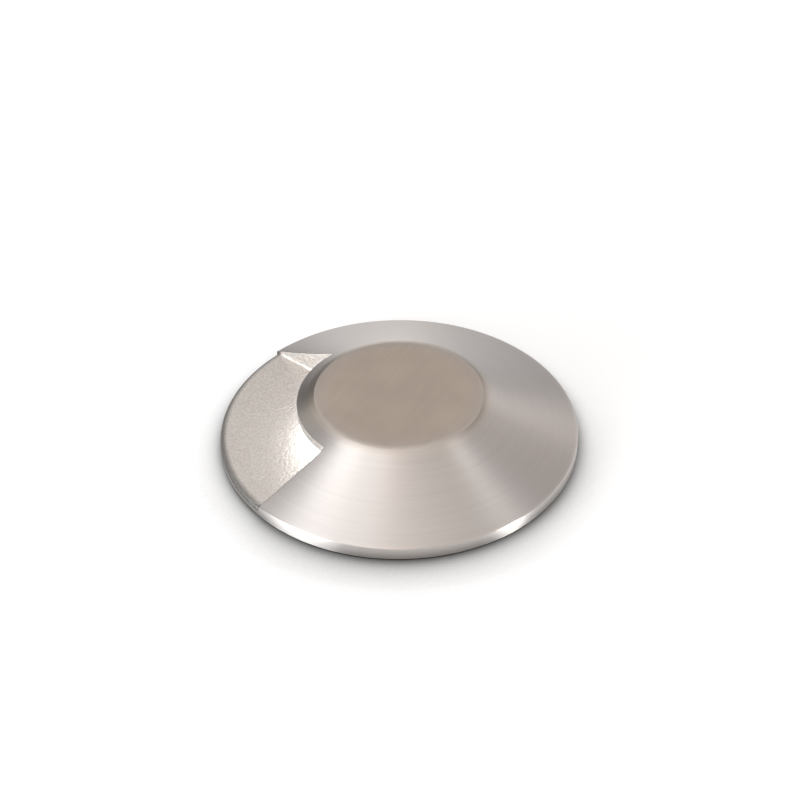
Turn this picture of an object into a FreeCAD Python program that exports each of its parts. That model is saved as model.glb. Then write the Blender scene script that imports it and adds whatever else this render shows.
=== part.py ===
"""One-way in-ground light: a domed steel cover with one outlet over a sealed
light unit, which spring clips hold in a sleeve set into the ground.

Millimetres. The origin is at the ground plane on the light's axis, +Z is up,
and the outlet in the cover faces -Y.
"""
import FreeCAD, Part
import os
import re

import Sketcher

# name, size in millimetres (or degrees, or a count), what it is
SIZES = (
    ("cover_radius", 60.0, "outside of the cover, where it meets the ground"),
    ("cover_height", 19.4, "ground to the flat top"),
    ("rim_height", 4.4, "height of the upright edge of the cover"),
    ("rim_round", 0.7, "rounding of the top of that edge"),
    ("plateau_inset", 5.8, "from the lens pocket in to where slope and flat top would meet"),
    ("plateau_round", 8.5, "rounding between the slope and the flat top"),
    ("slope_hollow_radius", 220.0, "radius to which the slope is hollowed"),
    ("outlet_floor", 3.8, "height of the outlet's floor"),
    ("outlet_splay", 37.5, "degrees from the outlet's centre line to each side"),
    ("outlet_apex", 8.9, "the sides would meet this far behind the axis"),
    ("outlet_floor_round", 1.8, "rounding of the floor into the cover's edge"),
    ("outlet_wall_round", 0.8, "rounding at the foot of the outlet's sides"),
    ("outlet_break", 0.3, "the outlet reaches this far into the lens pocket"),
    ("roof_thickness", 5.8, "steel between the flat top and the lens pocket"),
    ("rim_gasket_width", 3.5, "radial width of that gasket"),
    ("rim_gasket_thickness", 1.5, "thickness of that gasket"),
    ("gasket_play", 0.1, "room beside a gasket in its groove"),
    ("sleeve_play", 0.5, "room between the collar and the sleeve"),
    ("collar_wall", 3.7, "wall of the collar"),
    ("collar_depth", 12.0, "collar below the ground"),
    ("turning_gap", 0.3, "room between pieces that turn past each other"),
    ("thread_play", 0.05, "room round a screw in its hole"),
    ("grub_radius", 2.0, "radius of the grub screws in the collar"),
    ("grub_dog_radius", 1.5, "radius of their plain tips"),
    ("grub_dog_length", 1.6, "length of their plain tips"),
    ("grub_count", 3, "grub screws round the collar"),
    ("grub_socket", 2.0, "across the flats of their sockets"),
    ("grub_depth", 8.0, "grub screws below the ground"),
    ("neck_groove_bite", 1.4, "depth of the groove that the grub screws run in"),
    ("neck_depth", 14.0, "foot of the neck below the ground"),
    ("neck_wall", 5.2, "wall of the neck round the lens seat"),
    ("body_radius", 40.0, "outside of the housing below its neck"),
    ("body_depth", 74.0, "foot of the housing below the ground"),
    ("body_wall", 6.5, "wall of the housing"),
    ("deck_top", 7.5, "top of the deck that carries the lamps, below ground"),
    ("deck_thickness", 6.0, "thickness of that deck"),
    ("chamber_step", 0.4, "the bore over the deck is this much wider than the lens cup's"),
    ("lens_wall", 2.3, "wall of the lens cup"),
    ("lens_side_gap", 1.0, "room between the lens cup and the cover"),
    ("lens_top_gap", 0.4, "room between the lens cup and the cover's ceiling"),
    ("lens_edge_round", 0.8, "rounding of the lens cup's top edge"),
    ("lens_flange_width", 3.1, "flange round the foot of the lens cup"),
    ("lens_flange_thickness", 1.8, "thickness of that flange"),
    ("lens_gasket_thickness", 1.0, "gasket under that flange"),
    ("seat_play", 0.3, "room round the flange in its seat"),
    ("clamp_ring_thickness", 2.0, "ring that holds the flange down"),
    ("clamp_ring_inset", 0.5, "the ring stands this far inside the neck"),
    ("clamp_ring_gap", 0.5, "room between that ring and the cover"),
    ("clamp_screw_radius", 1.2, "radius of the clamp screws"),
    ("clamp_screw_length", 7.5, "length of the clamp screws"),
    ("clamp_screw_count", 4, "clamp screws"),
    ("clamp_head_radius", 2.2, "head of a clamp screw"),
    ("clamp_head_height", 1.2, "height of that head"),
    ("clamp_socket", 1.6, "across the flats of its socket"),
    ("sunk_head_play", 0.15, "room round a sunk screw head"),
    ("drive_depth", 0.9, "depth of a screw's hexagon socket"),
    ("mirror_gap", 8.1, "room between the cone mirror and the lens cup"),
    ("mirror_rim", 0.8, "edge of the cone mirror"),
    ("mirror_length", 11.5, "length of the cone mirror"),
    ("mirror_tip_radius", 1.5, "flat at the cone mirror's point"),
    ("pad_thickness", 0.5, "heat pad under the lamp board"),
    ("board_gap", 5.5, "room round the lamp board"),
    ("board_thickness", 1.6, "thickness of the lamp board"),
    ("board_screw_inset", 5.0, "board screws from the board's edge"),
    ("board_screw_radius", 1.5, "radius of the board screws"),
    ("board_screw_count", 3, "board screws"),
    ("board_screw_reach", 4.5, "board screws into the deck"),
    ("pan_head_radius", 2.75, "head of a pan-head screw"),
    ("pan_head_height", 1.6, "height of that head"),
    ("pan_socket", 2.0, "across the flats of its socket"),
    ("chip_side", 3.5, "side of a lamp chip"),
    ("chip_height", 0.8, "height of a lamp chip"),
    ("chip_gap", 3.5, "room between the lamp chips and the board screws' heads"),
    ("chip_count", 6, "lamp chips"),
    ("bush_radius", 4.0, "insulating bush through the deck"),
    ("bush_flange_radius", 6.0, "its flange under the deck"),
    ("bush_flange_thickness", 1.5, "thickness of that flange"),
    ("pin_radius", 0.5, "feed pins through the bush"),
    ("pin_spacing", 3.8, "distance between the feed pins"),
    ("pin_count", 2, "feed pins"),
    ("pin_stand", 0.5, "feed pins above the lamp board"),
    ("pin_reach", 5.0, "feed pins into the driver"),
    ("driver_gap", 1.5, "room between the driver's lugs and the housing"),
    ("driver_height", 30.0, "height of the potted driver"),
    ("driver_lug_length", 6.0, "length of the driver's lugs"),
    ("driver_lug_width", 10.0, "width of the driver's lugs"),
    ("driver_lug_thickness", 4.0, "thickness of the driver's lugs"),
    ("driver_screw_count", 2, "driver screws"),
    ("base_thickness", 4.0, "plate that closes the housing"),
    ("base_spigot_height", 7.0, "ring of that plate inside the housing"),
    ("base_spigot_wall", 5.5, "wall of that ring"),
    ("spigot_play", 0.3, "room round that ring"),
    ("oring_section", 0.95, "half the thickness of the sealing ring"),
    ("oring_groove_depth", 1.7, "depth of the sealing ring's groove"),
    ("oring_groove_width", 2.6, "width of the sealing ring's groove"),
    ("oring_below_top", 3.0, "middle of that groove below the spigot's top"),
    ("base_screw_radius", 1.5, "radius of the base screws"),
    ("base_screw_length", 11.0, "length of the base screws"),
    ("base_screw_count", 4, "base screws"),
    ("base_head_radius", 2.7, "head of a base screw"),
    ("base_head_height", 2.0, "height of that head"),
    ("base_socket", 2.0, "across the flats of its socket"),
    ("gland_thread_radius", 8.0, "thread of the cable gland"),
    ("gland_hex", 20.0, "across the flats of the gland and its locknut"),
    ("gland_flange", 5.0, "height of the gland's hexagon"),
    ("gland_lap", 1.0, "the hexagon laps the gland's stem by this"),
    ("gland_washer_thickness", 1.0, "washer between gland and base"),
    ("gland_locknut_height", 4.5, "height of the locknut"),
    ("gland_thread_stand", 1.5, "gland thread above its locknut"),
    ("gland_tail_length", 7.0, "threaded tail under the gland's hexagon"),
    ("gland_tail_radius", 7.0, "radius of that tail"),
    ("gland_seal_radius", 5.6, "outside of the gland's seal"),
    ("cable_hole_radius", 4.2, "hole for the cable in the gland's seal"),
    ("seal_foot", 1.0, "foot of the seal below the gland's tail"),
    ("seal_setback", 0.8, "top of the seal below the gland's hexagon"),
    ("gland_nut_gap", 0.5, "room between the dome nut and the hexagon"),
    ("gland_nut_wall", 2.2, "wall of the gland's dome nut"),
    ("gland_nut_length", 12.0, "length of the dome nut"),
    ("gland_nut_round", 3.0, "rounding of the dome nut"),
    ("gland_mouth_play", 0.3, "the dome nut's mouth is this much wider than the seal's hole"),
    ("vent_gap", 3.7, "room between the breather's thread and the spigot"),
    ("vent_radius", 3.0, "radius of the breather's thread"),
    ("vent_hex", 9.0, "across the flats of the breather"),
    ("vent_head", 3.0, "height of the breather's head"),
    ("vent_stand", 1.0, "breather's thread above the base"),
    ("block_width", 11.0, "terminal block, along the radius"),
    ("block_length", 21.0, "terminal block, across the radius"),
    ("block_height", 13.0, "terminal block, down from the driver"),
    ("block_offset", 9.0, "middle of the terminal block from the axis"),
    ("pole_count", 3, "poles of the terminal block"),
    ("pole_pitch", 6.5, "distance between poles"),
    ("pole_screw_radius", 2.0, "radius of the terminal screws"),
    ("pole_screw_length", 5.2, "length of the terminal screws"),
    ("pole_hole_depth", 7.2, "depth of their holes"),
    ("pole_slot_width", 0.8, "width of their slots"),
    ("pole_entry_depth", 4.5, "wire holes below the driver"),
    ("pole_entry_radius", 1.6, "radius of the wire holes"),
    ("clip_count", 3, "spring clips round the housing"),
    ("clip_thickness", 0.8, "thickness of the clip strip"),
    ("clip_width", 10.0, "width of the clip strip"),
    ("clip_flat", 0.4, "depth of the flat that a clip is screwed to"),
    ("clip_flat_room", 0.5, "flat beyond the clip's foot on each side"),
    ("clip_flat_above", 6.0, "flat above the clip's bend"),
    ("clip_bend_rise", 22.0, "the clip's bend above the housing's foot"),
    ("clip_foot_length", 12.0, "foot of the clip"),
    ("clip_root_gap", 0.1, "gap from the moving leaf to its foot and to the housing"),
    ("clip_rise", 25.0, "bend to crest"),
    ("clip_crest_round", 3.0, "bend at the crest"),
    ("clip_tip_rise", 6.0, "crest to tip"),
    ("clip_tip_drop", 1.8, "the tip lies this far inside the crest"),
    ("clip_screw_radius", 1.5, "radius of the clip screws"),
    ("clip_screw_reach", 4.0, "clip screws into the housing"),
    ("clip_room", 6.5, "room for the clips between housing and sleeve"),
    ("sleeve_wall", 3.0, "wall of the sleeve"),
    ("sleeve_depth", 120.0, "foot of the sleeve below the ground"),
    ("sleeve_lead", 0.3, "chamfer at the mouth of the sleeve"),
    ("sleeve_base_thickness", 3.0, "plate under the sleeve"),
    ("sleeve_spigot_height", 3.0, "ring of that plate inside the sleeve"),
    ("sleeve_spigot_wall", 2.5, "wall of that ring"),
    ("joint_play", 0.05, "room in a glued joint"),
    ("drain_radius", 4.0, "drain holes in the sleeve's base"),
    ("drain_pitch", 30.0, "radius of the drain holes' circle"),
    ("drain_count", 6, "drain holes"),
    ("grommet_radius", 10.0, "rubber grommet in the sleeve's base"),
    ("grommet_flange", 3.0, "its flange beyond the hole"),
    ("grommet_flange_thickness", 2.0, "thickness of that flange"),
    ("cut_over", 3.0, "how far a cut runs past what it cuts"),
)

# sizes that follow from the ones above
DERIVED = {
    "sleeve_bore": "body_radius + clip_room",
    "collar_outer": "sleeve_bore - sleeve_play",
    "lens_radius": "lens_flange_radius - lens_flange_width",
    "lens_pocket_radius": "lens_radius + lens_side_gap",
    "plateau_radius": "lens_pocket_radius - plateau_inset",
    "outlet_edge_radius": "lens_pocket_radius - outlet_break",
    "pocket_top": "cover_height - roof_thickness",
    "lens_top": "pocket_top - lens_top_gap",
    "lens_bore": "lens_radius - lens_wall",
    "lens_ceiling": "lens_top - lens_wall",
    "lens_flange_radius": "seat_radius - seat_play",
    "collar_inner": "collar_outer - collar_wall",
    "neck_radius": "collar_inner - turning_gap",
    "neck_top": "-clamp_ring_gap - clamp_ring_thickness",
    "flange_foot": "neck_top - lens_flange_thickness",
    "seat_floor": "flange_foot - lens_gasket_thickness",
    "seat_radius": "neck_radius - neck_wall",
    "groove_radius": "neck_radius - neck_groove_bite",
    "groove_half": "grub_dog_radius + turning_gap",
    "clamp_screw_pitch": "(seat_radius + groove_radius) / 2",
    "rim_gasket_inner": "(sleeve_outer + cover_radius - rim_gasket_width) / 2",
    "body_bore": "body_radius - body_wall",
    "deck_foot": "-deck_top - deck_thickness",
    "pad_top": "-deck_top + pad_thickness",
    "lamp_chamber_radius": "lens_bore + chamber_step",
    "mirror_radius": "lens_bore - mirror_gap",
    "board_radius": "lamp_chamber_radius - board_gap",
    "board_top": "pad_top + board_thickness",
    "board_screw_pitch": "board_radius - board_screw_inset",
    "chip_pitch": "board_screw_pitch - pan_head_radius - chip_gap - chip_side / 2",
    "board_hole": "board_screw_radius + thread_play",
    "pin_hole": "pin_radius + thread_play",
    "driver_foot": "deck_foot - driver_height",
    "driver_lug_reach": "body_bore - driver_gap",
    "driver_radius": "driver_lug_reach - driver_lug_length",
    "driver_screw_pitch": "driver_lug_reach - driver_lug_length / 2",
    "block_foot": "driver_foot - block_height",
    "pole_hole_end": "block_foot + pole_hole_depth",
    "base_foot": "-body_depth - base_thickness",
    "base_screw_pitch": "body_radius - body_wall / 2",
    "spigot_radius": "body_bore - spigot_play",
    "spigot_top": "-body_depth + base_spigot_height",
    "oring_middle": "spigot_top - oring_below_top",
    "vent_offset": "spigot_radius - base_spigot_wall - vent_gap - vent_radius",
    "gland_face": "base_foot - gland_washer_thickness",
    "gland_hex_foot": "gland_face - gland_flange",
    "gland_tail_foot": "gland_hex_foot - gland_tail_length",
    "gland_thread_top": "-body_depth + gland_locknut_height + gland_thread_stand",
    "gland_nut_radius": "gland_tail_radius + gland_nut_wall",
    "gland_nut_top": "gland_hex_foot - gland_nut_gap",
    "gland_nut_foot": "gland_nut_top - gland_nut_length",
    "clip_seat": "body_radius - clip_flat",
    "clip_bend_depth": "body_depth - clip_bend_rise",
    "clip_root": "-clip_bend_depth + clip_root_gap + clip_thickness / 2",
    "clip_crest": "sleeve_bore - clip_bore_gap - clip_thickness",
    "clip_bore_gap": "turning_gap + clip_width * clip_width / 8 / sleeve_bore",
    "clip_crest_height": "-clip_bend_depth + clip_rise",
    "clip_tip_height": "clip_crest_height + clip_tip_rise",
    "clip_screw_height": "-clip_bend_depth - clip_foot_length / 2",
    "sleeve_outer": "sleeve_bore + sleeve_wall",
    "sleeve_plate_top": "-sleeve_depth + sleeve_base_thickness",
}

SHEET_NAME = "Sizes"
WORD = re.compile(r"[a-z][a-z0-9_]*")
FULL_TURN = 360
HEXAGON_SIDES = 6
FIRST_CORNER = 30  # degrees
SAME_HEIGHT = 1e-3
SAME_RADIUS = 1e-2
LEAST_CUT = 1e-3  # cubic millimetres
NEARLY_ALL = 0.9

doc = FreeCAD.newDocument("in_ground_light")
sheet = doc.addObject("Spreadsheet::Sheet", SHEET_NAME)
ALIASES = {name for name, _, _ in SIZES}
NODES = []


def fill_sheet():
    """Write every driving size into the spreadsheet, under its own alias."""
    for row, (name, size, meaning) in enumerate(SIZES, start=1):
        sheet.set(f"A{row}", name)
        sheet.set(f"B{row}", str(size))
        sheet.set(f"C{row}", meaning)
        sheet.setAlias(f"B{row}", name)
    doc.recompute()


def formula(text):
    """Spell out derived sizes, and point every size at its cell."""
    def spell(match):
        word = match.group(0)
        if word in DERIVED:
            return "(" + formula(DERIVED[word]) + ")"
        return f"{SHEET_NAME}.{word}" if word in ALIASES else word
    return WORD.sub(spell, str(text))


def value(text):
    """Return a size or a sum of sizes as a number."""
    return float(sheet.evalExpression(formula(text)))


def bind(thing, attribute, text):
    """Tie one property of an object to the sizes."""
    thing.setExpression(attribute, formula(text))


# ---------------------------------------------------------------- sketches


def new_body(label, several=False):
    """Start a body, which may hold several loose solids when it is a group."""
    body = doc.addObject("PartDesign::Body", label)
    body.Label = label
    body.AllowCompound = several
    return body


def origin_feature(body, role):
    """Return one of the body's own origin planes or axes."""
    return next(item for item in body.Origin.OriginFeatures if item.Role == role)


def new_sketch(body, plane, offset=("0", "0", "0")):
    """Attach an empty sketch to an origin plane, moved by offset in its own axes."""
    sketch = body.newObject("Sketcher::SketchObject", f"{body.Label}_sketch")
    sketch.AttachmentSupport = [(origin_feature(body, plane), "")]
    sketch.MapMode = "FlatFace"
    for axis, text in zip("xyz", offset):
        if text != "0":
            bind(sketch, f"AttachmentOffset.Base.{axis}", text)
    return sketch


def place_point(sketch, edge, end, number, point):
    """Hold one end of an edge at a place given by two sizes."""
    for kind, axis, text in (("DistanceX", -2, point[0]), ("DistanceY", -1, point[1])):
        if text == "0":
            sketch.addConstraint(Sketcher.Constraint("PointOnObject", edge, end, axis))
            continue
        held = Sketcher.Constraint(kind, -1, 1, edge, end, value(text))
        index = sketch.addConstraint(held)
        name = f"{kind}_{number}_{sketch.ConstraintCount}"
        sketch.renameConstraint(index, name)
        bind(sketch, f"Constraints.{name}", text)


def arc_through(start, end, radius):
    """Return the short arc of a radius; a negative radius bulges to the left."""
    chord = end - start
    middle = (start + end) * 0.5
    rise = (radius * radius - chord.Length * chord.Length / 4) ** 0.5
    side = FreeCAD.Vector(-chord.y, chord.x, 0).normalize()
    sign = 1 if radius > 0 else -1
    centre = middle + side * (rise * sign)
    crown = centre - side * (abs(radius) * sign)
    return Part.Arc(start, crown, end)


def draw(sketch, points, arcs=None):
    """Draw a closed outline; arcs maps the number of an edge to its radius."""
    arcs = arcs or {}
    places = [FreeCAD.Vector(value(x), value(y), 0) for x, y in points]
    first = sketch.GeometryCount
    ends = []
    for number, start in enumerate(places):
        end = places[(number + 1) % len(places)]
        if number in arcs:
            radius = value(arcs[number])
            edge = sketch.addGeometry(arc_through(start, end, radius))
            turns_left = radius > 0
            ends.append((1, 2) if turns_left else (2, 1))
            index = sketch.addConstraint(Sketcher.Constraint("Radius", edge, abs(radius)))
            name = f"Radius_{number}_{sketch.ConstraintCount}"
            sketch.renameConstraint(index, name)
            bind(sketch, f"Constraints.{name}", f"abs({arcs[number]})")
        else:
            sketch.addGeometry(Part.LineSegment(start, end))
            ends.append((1, 2))
    for number, point in enumerate(points):
        before = (number - 1) % len(points)
        joint = Sketcher.Constraint(
            "Coincident", first + before, ends[before][1], first + number, ends[number][0])
        sketch.addConstraint(joint)
        place_point(sketch, first + number, ends[number][0], number, point)


def draw_circle(sketch, radius, centre=("0", "0")):
    """Draw one circle."""
    middle = FreeCAD.Vector(value(centre[0]), value(centre[1]), 0)
    normal = FreeCAD.Vector(0, 0, 1)
    edge = sketch.addGeometry(Part.Circle(middle, normal, value(radius)))
    place_point(sketch, edge, 3, edge, centre)
    index = sketch.addConstraint(Sketcher.Constraint("Radius", edge, value(radius)))
    name = f"Radius_{edge}_{sketch.ConstraintCount}"
    sketch.renameConstraint(index, name)
    bind(sketch, f"Constraints.{name}", radius)


def hexagon(across, centre=("0", "0")):
    """Return the corners of a hexagon, given the distance across its flats."""
    corners = []
    for side in range(HEXAGON_SIDES):
        degrees = FIRST_CORNER + side * FULL_TURN // HEXAGON_SIDES
        x = f"{centre[0]} + {across} / sqrt(3) * cos({degrees})"
        y = f"{centre[1]} + {across} / sqrt(3) * sin({degrees})"
        corners.append((x, "0" if degrees % 180 == 0 and centre[1] == "0" else y))
    return corners


def box_outline(x_low, x_high, y_low, y_high):
    """Return the four corners of an upright rectangle."""
    return [(x_low, y_low), (x_high, y_low), (x_high, y_high), (x_low, y_high)]


# ---------------------------------------------------------------- features


def spin(body, points, arcs=None, offset=("0", "0", "0"), about="V_Axis", cut=False):
    """Turn an outline in the XZ plane once round, to add or to cut."""
    sketch = new_sketch(body, "XZ_Plane", offset)
    draw(sketch, points, arcs)
    kind = "PartDesign::Groove" if cut else "PartDesign::Revolution"
    feature = body.newObject(kind, f"{body.Label}_turned")
    feature.Profile = sketch
    feature.ReferenceAxis = (sketch, [about])
    feature.Angle = FULL_TURN
    body.Tip = feature
    return feature


def extrude(body, sketch, length, up=True, cut=False):
    """Pad or pocket a sketch on a level plane, upwards or downwards."""
    kind = "PartDesign::Pocket" if cut else "PartDesign::Pad"
    feature = body.newObject(kind, f"{body.Label}_extruded")
    feature.Profile = sketch
    bind(feature, "Length", length)
    feature.Reversed = up if cut else not up
    body.Tip = feature
    return feature


def level_sketch(body, height, x="0", y="0"):
    """Return a level sketch at a height, with its own zero moved by x and y."""
    return new_sketch(body, "XY_Plane", (x, y, height))


def ring_of(body, features, count):
    """Repeat features round the axis."""
    pattern = body.newObject("PartDesign::PolarPattern", f"{body.Label}_ring")
    pattern.Originals = features
    pattern.Axis = (origin_feature(body, "Z_Axis"), [""])
    pattern.Angle = FULL_TURN
    bind(pattern, "Occurrences", count)
    body.Tip = pattern
    return pattern


def round_edges(body, wanted, radius):
    """Round those edges of the body for which wanted returns true."""
    doc.recompute()
    base = body.Tip
    found = [f"Edge{i}" for i, edge in enumerate(base.Shape.Edges, start=1) if wanted(edge)]
    fillet = body.newObject("PartDesign::Fillet", f"{body.Label}_rounded")
    fillet.Base = (base, found)
    bind(fillet, "Radius", radius)
    body.Tip = fillet
    return fillet


def on_circle(radius, height):
    """Tell the round edges of one radius at one height."""
    def test(edge):
        flat = abs(edge.BoundBox.ZLength) < SAME_HEIGHT
        reach = abs(edge.BoundBox.XMax - value(radius)) < SAME_RADIUS
        return flat and reach and abs(edge.BoundBox.ZMax - value(height)) < SAME_HEIGHT
    return test


def node(thing):
    """Keep an object as one of the light's pieces."""
    NODES.append(thing)
    return thing


def turned(label, points, arcs=None):
    """Make a piece that is one turned solid."""
    body = new_body(label)
    spin(body, points, arcs)
    return node(body)


def drilled(body, pitch, radius, height, depth, count, up):
    """Drill a ring of upright holes from a level."""
    sketch = level_sketch(body, height, x=pitch)
    draw_circle(sketch, radius)
    hole = extrude(body, sketch, depth, up=up, cut=True)
    ring_of(body, [hole], count)


def upright_screws(label, pitch, profile, count, socket, socket_height, head_up):
    """Make a ring of upright screws with hexagon sockets."""
    body = new_body(label, several=True)
    turned_screw = spin(body, profile, offset=(pitch, "0", "0"))
    sketch = level_sketch(body, socket_height, x=pitch)
    draw(sketch, hexagon(socket))
    drive = extrude(body, sketch, "drive_depth", up=not head_up, cut=True)
    ring_of(body, [turned_screw, drive], count)
    return node(body)


def radial_screws(label, height, profile, count, socket, face):
    """Make a ring of screws that point at the axis."""
    body = new_body(label, several=True)
    turned_screw = spin(body, profile, offset=("0", height, "0"), about="H_Axis")
    sketch = new_sketch(body, "YZ_Plane", ("0", height, face))
    draw(sketch, hexagon(socket))
    drive = extrude(body, sketch, "drive_depth", up=False, cut=True)
    ring_of(body, [turned_screw, drive], count)
    return node(body)


# ---------------------------------------------------------------- the cover


def outlet_corner(radius, side):
    """Return where a side of the outlet crosses a circle about the axis."""
    reach = (f"(outlet_apex * cos(outlet_splay)"
             f" + sqrt(({radius})^2 - (outlet_apex * sin(outlet_splay))^2))")
    return f"{side} * {reach} * sin(outlet_splay)", f"outlet_apex - {reach} * cos(outlet_splay)"


def make_outlet_tool():
    """Make the space of the outlet: everything over its floor, between its sides."""
    beyond = "cover_radius + cut_over"
    sides = new_body("outlet_sides")
    sketch = level_sketch(sides, "0")
    corners = [
        outlet_corner("outlet_edge_radius", -1),
        outlet_corner(beyond, -1),
        outlet_corner(beyond, 1),
        outlet_corner("outlet_edge_radius", 1),
    ]
    draw(sketch, corners, arcs={1: beyond, 3: "-outlet_edge_radius"})
    extrude(sides, sketch, "cover_height * 2")
    floor = new_body("outlet_floor_form")
    round_start = "cover_radius - outlet_floor_round"
    round_foot = "outlet_floor - outlet_floor_round"
    spin(floor, [
        ("0", "outlet_floor"),
        (round_start, "outlet_floor"),
        ("cover_radius", round_foot),
        (beyond, round_foot),
        (beyond, "cover_height * 2"),
        ("0", "cover_height * 2"),
    ], arcs={1: "-outlet_floor_round"})
    space = doc.addObject("Part::Common", "outlet_space")
    space.Base = sides
    space.Tool = floor
    doc.recompute()
    feet = [i for i, edge in enumerate(space.Shape.Edges, start=1) if at_wall_foot(edge)]
    rounded = doc.addObject("Part::Fillet", "outlet_space_rounded")
    rounded.Base = space
    radius = value("outlet_wall_round")
    rounded.Edges = [(i, radius, radius) for i in feet]
    return rounded


def at_wall_foot(edge):
    """Tell the straight edges where the outlet's sides meet its floor."""
    box = edge.BoundBox
    level = box.ZLength < SAME_HEIGHT and abs(box.ZMax - value("outlet_floor")) < SAME_HEIGHT
    return level and edge.Curve.TypeId == "Part::GeomLine"


def make_cover():
    """Make the steel cover with its collar, outlet, gasket groove and screw holes."""
    blank = new_body("cover_blank")
    spin(blank, [
        ("collar_inner", "-collar_depth"),
        ("collar_outer", "-collar_depth"),
        ("collar_outer", "0"),
        ("cover_radius", "0"),
        ("cover_radius", "rim_height"),
        ("plateau_radius", "cover_height"),
        ("0", "cover_height"),
        ("0", "pocket_top"),
        ("lens_pocket_radius", "pocket_top"),
        ("lens_pocket_radius", "0"),
        ("collar_inner", "0"),
    ], arcs={4: "-slope_hollow_radius"})
    round_edges(blank, on_circle("plateau_radius", "cover_height"), "plateau_round")
    round_edges(blank, on_circle("cover_radius", "rim_height"), "rim_round")
    gasket_outer = "rim_gasket_inner + rim_gasket_width"
    spin(blank, box_outline(
        "rim_gasket_inner - gasket_play", f"{gasket_outer} + gasket_play",
        "0", "rim_gasket_thickness"), cut=True)
    sketch = new_sketch(blank, "YZ_Plane", ("0", "-grub_depth", "collar_inner - cut_over"))
    draw_circle(sketch, "grub_radius")
    hole = extrude(blank, sketch, "collar_wall + 2 * cut_over", up=True, cut=True)
    ring_of(blank, [hole], "grub_count")
    cover = doc.addObject("Part::Cut", "cover")
    cover.Base = blank
    cover.Tool = make_outlet_tool()
    return node(cover)


def make_rim_gasket():
    """Make the gasket under the cover's edge."""
    outer = "rim_gasket_inner + rim_gasket_width"
    return turned("rim_gasket", box_outline("rim_gasket_inner", outer, "0", "rim_gasket_thickness"))


def make_grub_screws():
    """Make the screws whose tips run in the neck's groove."""
    tip = "groove_radius + turning_gap"
    shoulder = "groove_radius + turning_gap + grub_dog_length"
    face = "collar_outer - turning_gap"
    thread = "grub_radius - thread_play"
    profile = [(tip, "0"), (tip, "grub_dog_radius"), (shoulder, "grub_dog_radius"),
               (shoulder, thread), (face, thread), (face, "0")]
    return radial_screws("grub_screws", "-grub_depth", profile, "grub_count", "grub_socket", face)


# ---------------------------------------------------------------- the housing


def make_housing():
    """Make the housing: neck with groove and lens seat, deck, and open body."""
    body = new_body("housing")
    groove_top = "-grub_depth + groove_half"
    groove_foot = "-grub_depth - groove_half"
    bush_hole = "bush_radius + joint_play"
    spin(body, [
        ("body_bore", "-body_depth"),
        ("body_radius", "-body_depth"),
        ("body_radius", "-neck_depth"),
        ("neck_radius", "-neck_depth"),
        ("neck_radius", groove_foot),
        ("groove_radius", groove_foot),
        ("groove_radius", groove_top),
        ("neck_radius", groove_top),
        ("neck_radius", "neck_top"),
        ("seat_radius", "neck_top"),
        ("seat_radius", "seat_floor"),
        ("lamp_chamber_radius", "seat_floor"),
        ("lamp_chamber_radius", "-deck_top"),
        (bush_hole, "-deck_top"),
        (bush_hole, "deck_foot"),
        ("body_bore", "deck_foot"),
    ])
    clamp_hole = "clamp_screw_radius + thread_play"
    drilled(body, "clamp_screw_pitch", clamp_hole, "neck_top", "clamp_screw_length",
            "clamp_screw_count", up=False)
    drilled(body, "board_screw_pitch", "board_hole", "-deck_top", "board_screw_reach",
            "board_screw_count", up=False)
    drilled(body, "driver_screw_pitch", "board_hole", "deck_foot", "board_screw_reach",
            "driver_screw_count", up=True)
    base_hole = "base_screw_radius + thread_play"
    drilled(body, "base_screw_pitch", base_hole, "-body_depth", "base_screw_length",
            "base_screw_count", up=True)
    cut_clip_flats(body)
    return node(body)


def cut_clip_flats(body):
    """Mill a flat with a screw hole for each spring clip."""
    half_width = "clip_width / 2 + clip_flat_room"
    flat_top = "-clip_bend_depth + clip_flat_above"
    flat = level_sketch(body, flat_top)
    draw(flat, box_outline("clip_seat", "body_radius + cut_over", f"-({half_width})", half_width))
    flat_length = "clip_flat_above + clip_foot_length + clip_flat_room"
    milled = extrude(body, flat, flat_length, up=False, cut=True)
    ring_of(body, [milled], "clip_count")
    hole_sketch = new_sketch(
        body, "YZ_Plane", ("0", "clip_screw_height", "clip_seat - clip_screw_reach"))
    draw_circle(hole_sketch, "clip_screw_radius + thread_play")
    hole = extrude(body, hole_sketch, "clip_screw_reach + cut_over", up=True, cut=True)
    ring_of(body, [hole], "clip_count")


def make_housing_base():
    """Make the plate that closes the housing, with holes for gland and breather."""
    body = new_body("housing_base")
    gland_hole = "gland_thread_radius + thread_play"
    groove_half_width = "oring_groove_width / 2"
    spin(body, [
        (gland_hole, "base_foot"),
        ("body_radius", "base_foot"),
        ("body_radius", "-body_depth"),
        ("spigot_radius", "-body_depth"),
        ("spigot_radius", f"oring_middle - {groove_half_width}"),
        ("spigot_radius - oring_groove_depth", f"oring_middle - {groove_half_width}"),
        ("spigot_radius - oring_groove_depth", f"oring_middle + {groove_half_width}"),
        ("spigot_radius", f"oring_middle + {groove_half_width}"),
        ("spigot_radius", "spigot_top"),
        ("spigot_radius - base_spigot_wall", "spigot_top"),
        ("spigot_radius - base_spigot_wall", "-body_depth"),
        (gland_hole, "-body_depth"),
    ])
    drilled(body, "base_screw_pitch", "base_screw_radius + thread_play", "base_foot",
            "base_thickness", "base_screw_count", up=True)
    drilled(body, "base_screw_pitch", "base_head_radius + sunk_head_play", "base_foot",
            "base_head_height", "base_screw_count", up=True)
    vent = level_sketch(body, "base_foot", x="-vent_offset")
    draw_circle(vent, "vent_radius + thread_play")
    extrude(body, vent, "base_thickness", up=True, cut=True)
    return node(body)


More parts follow.
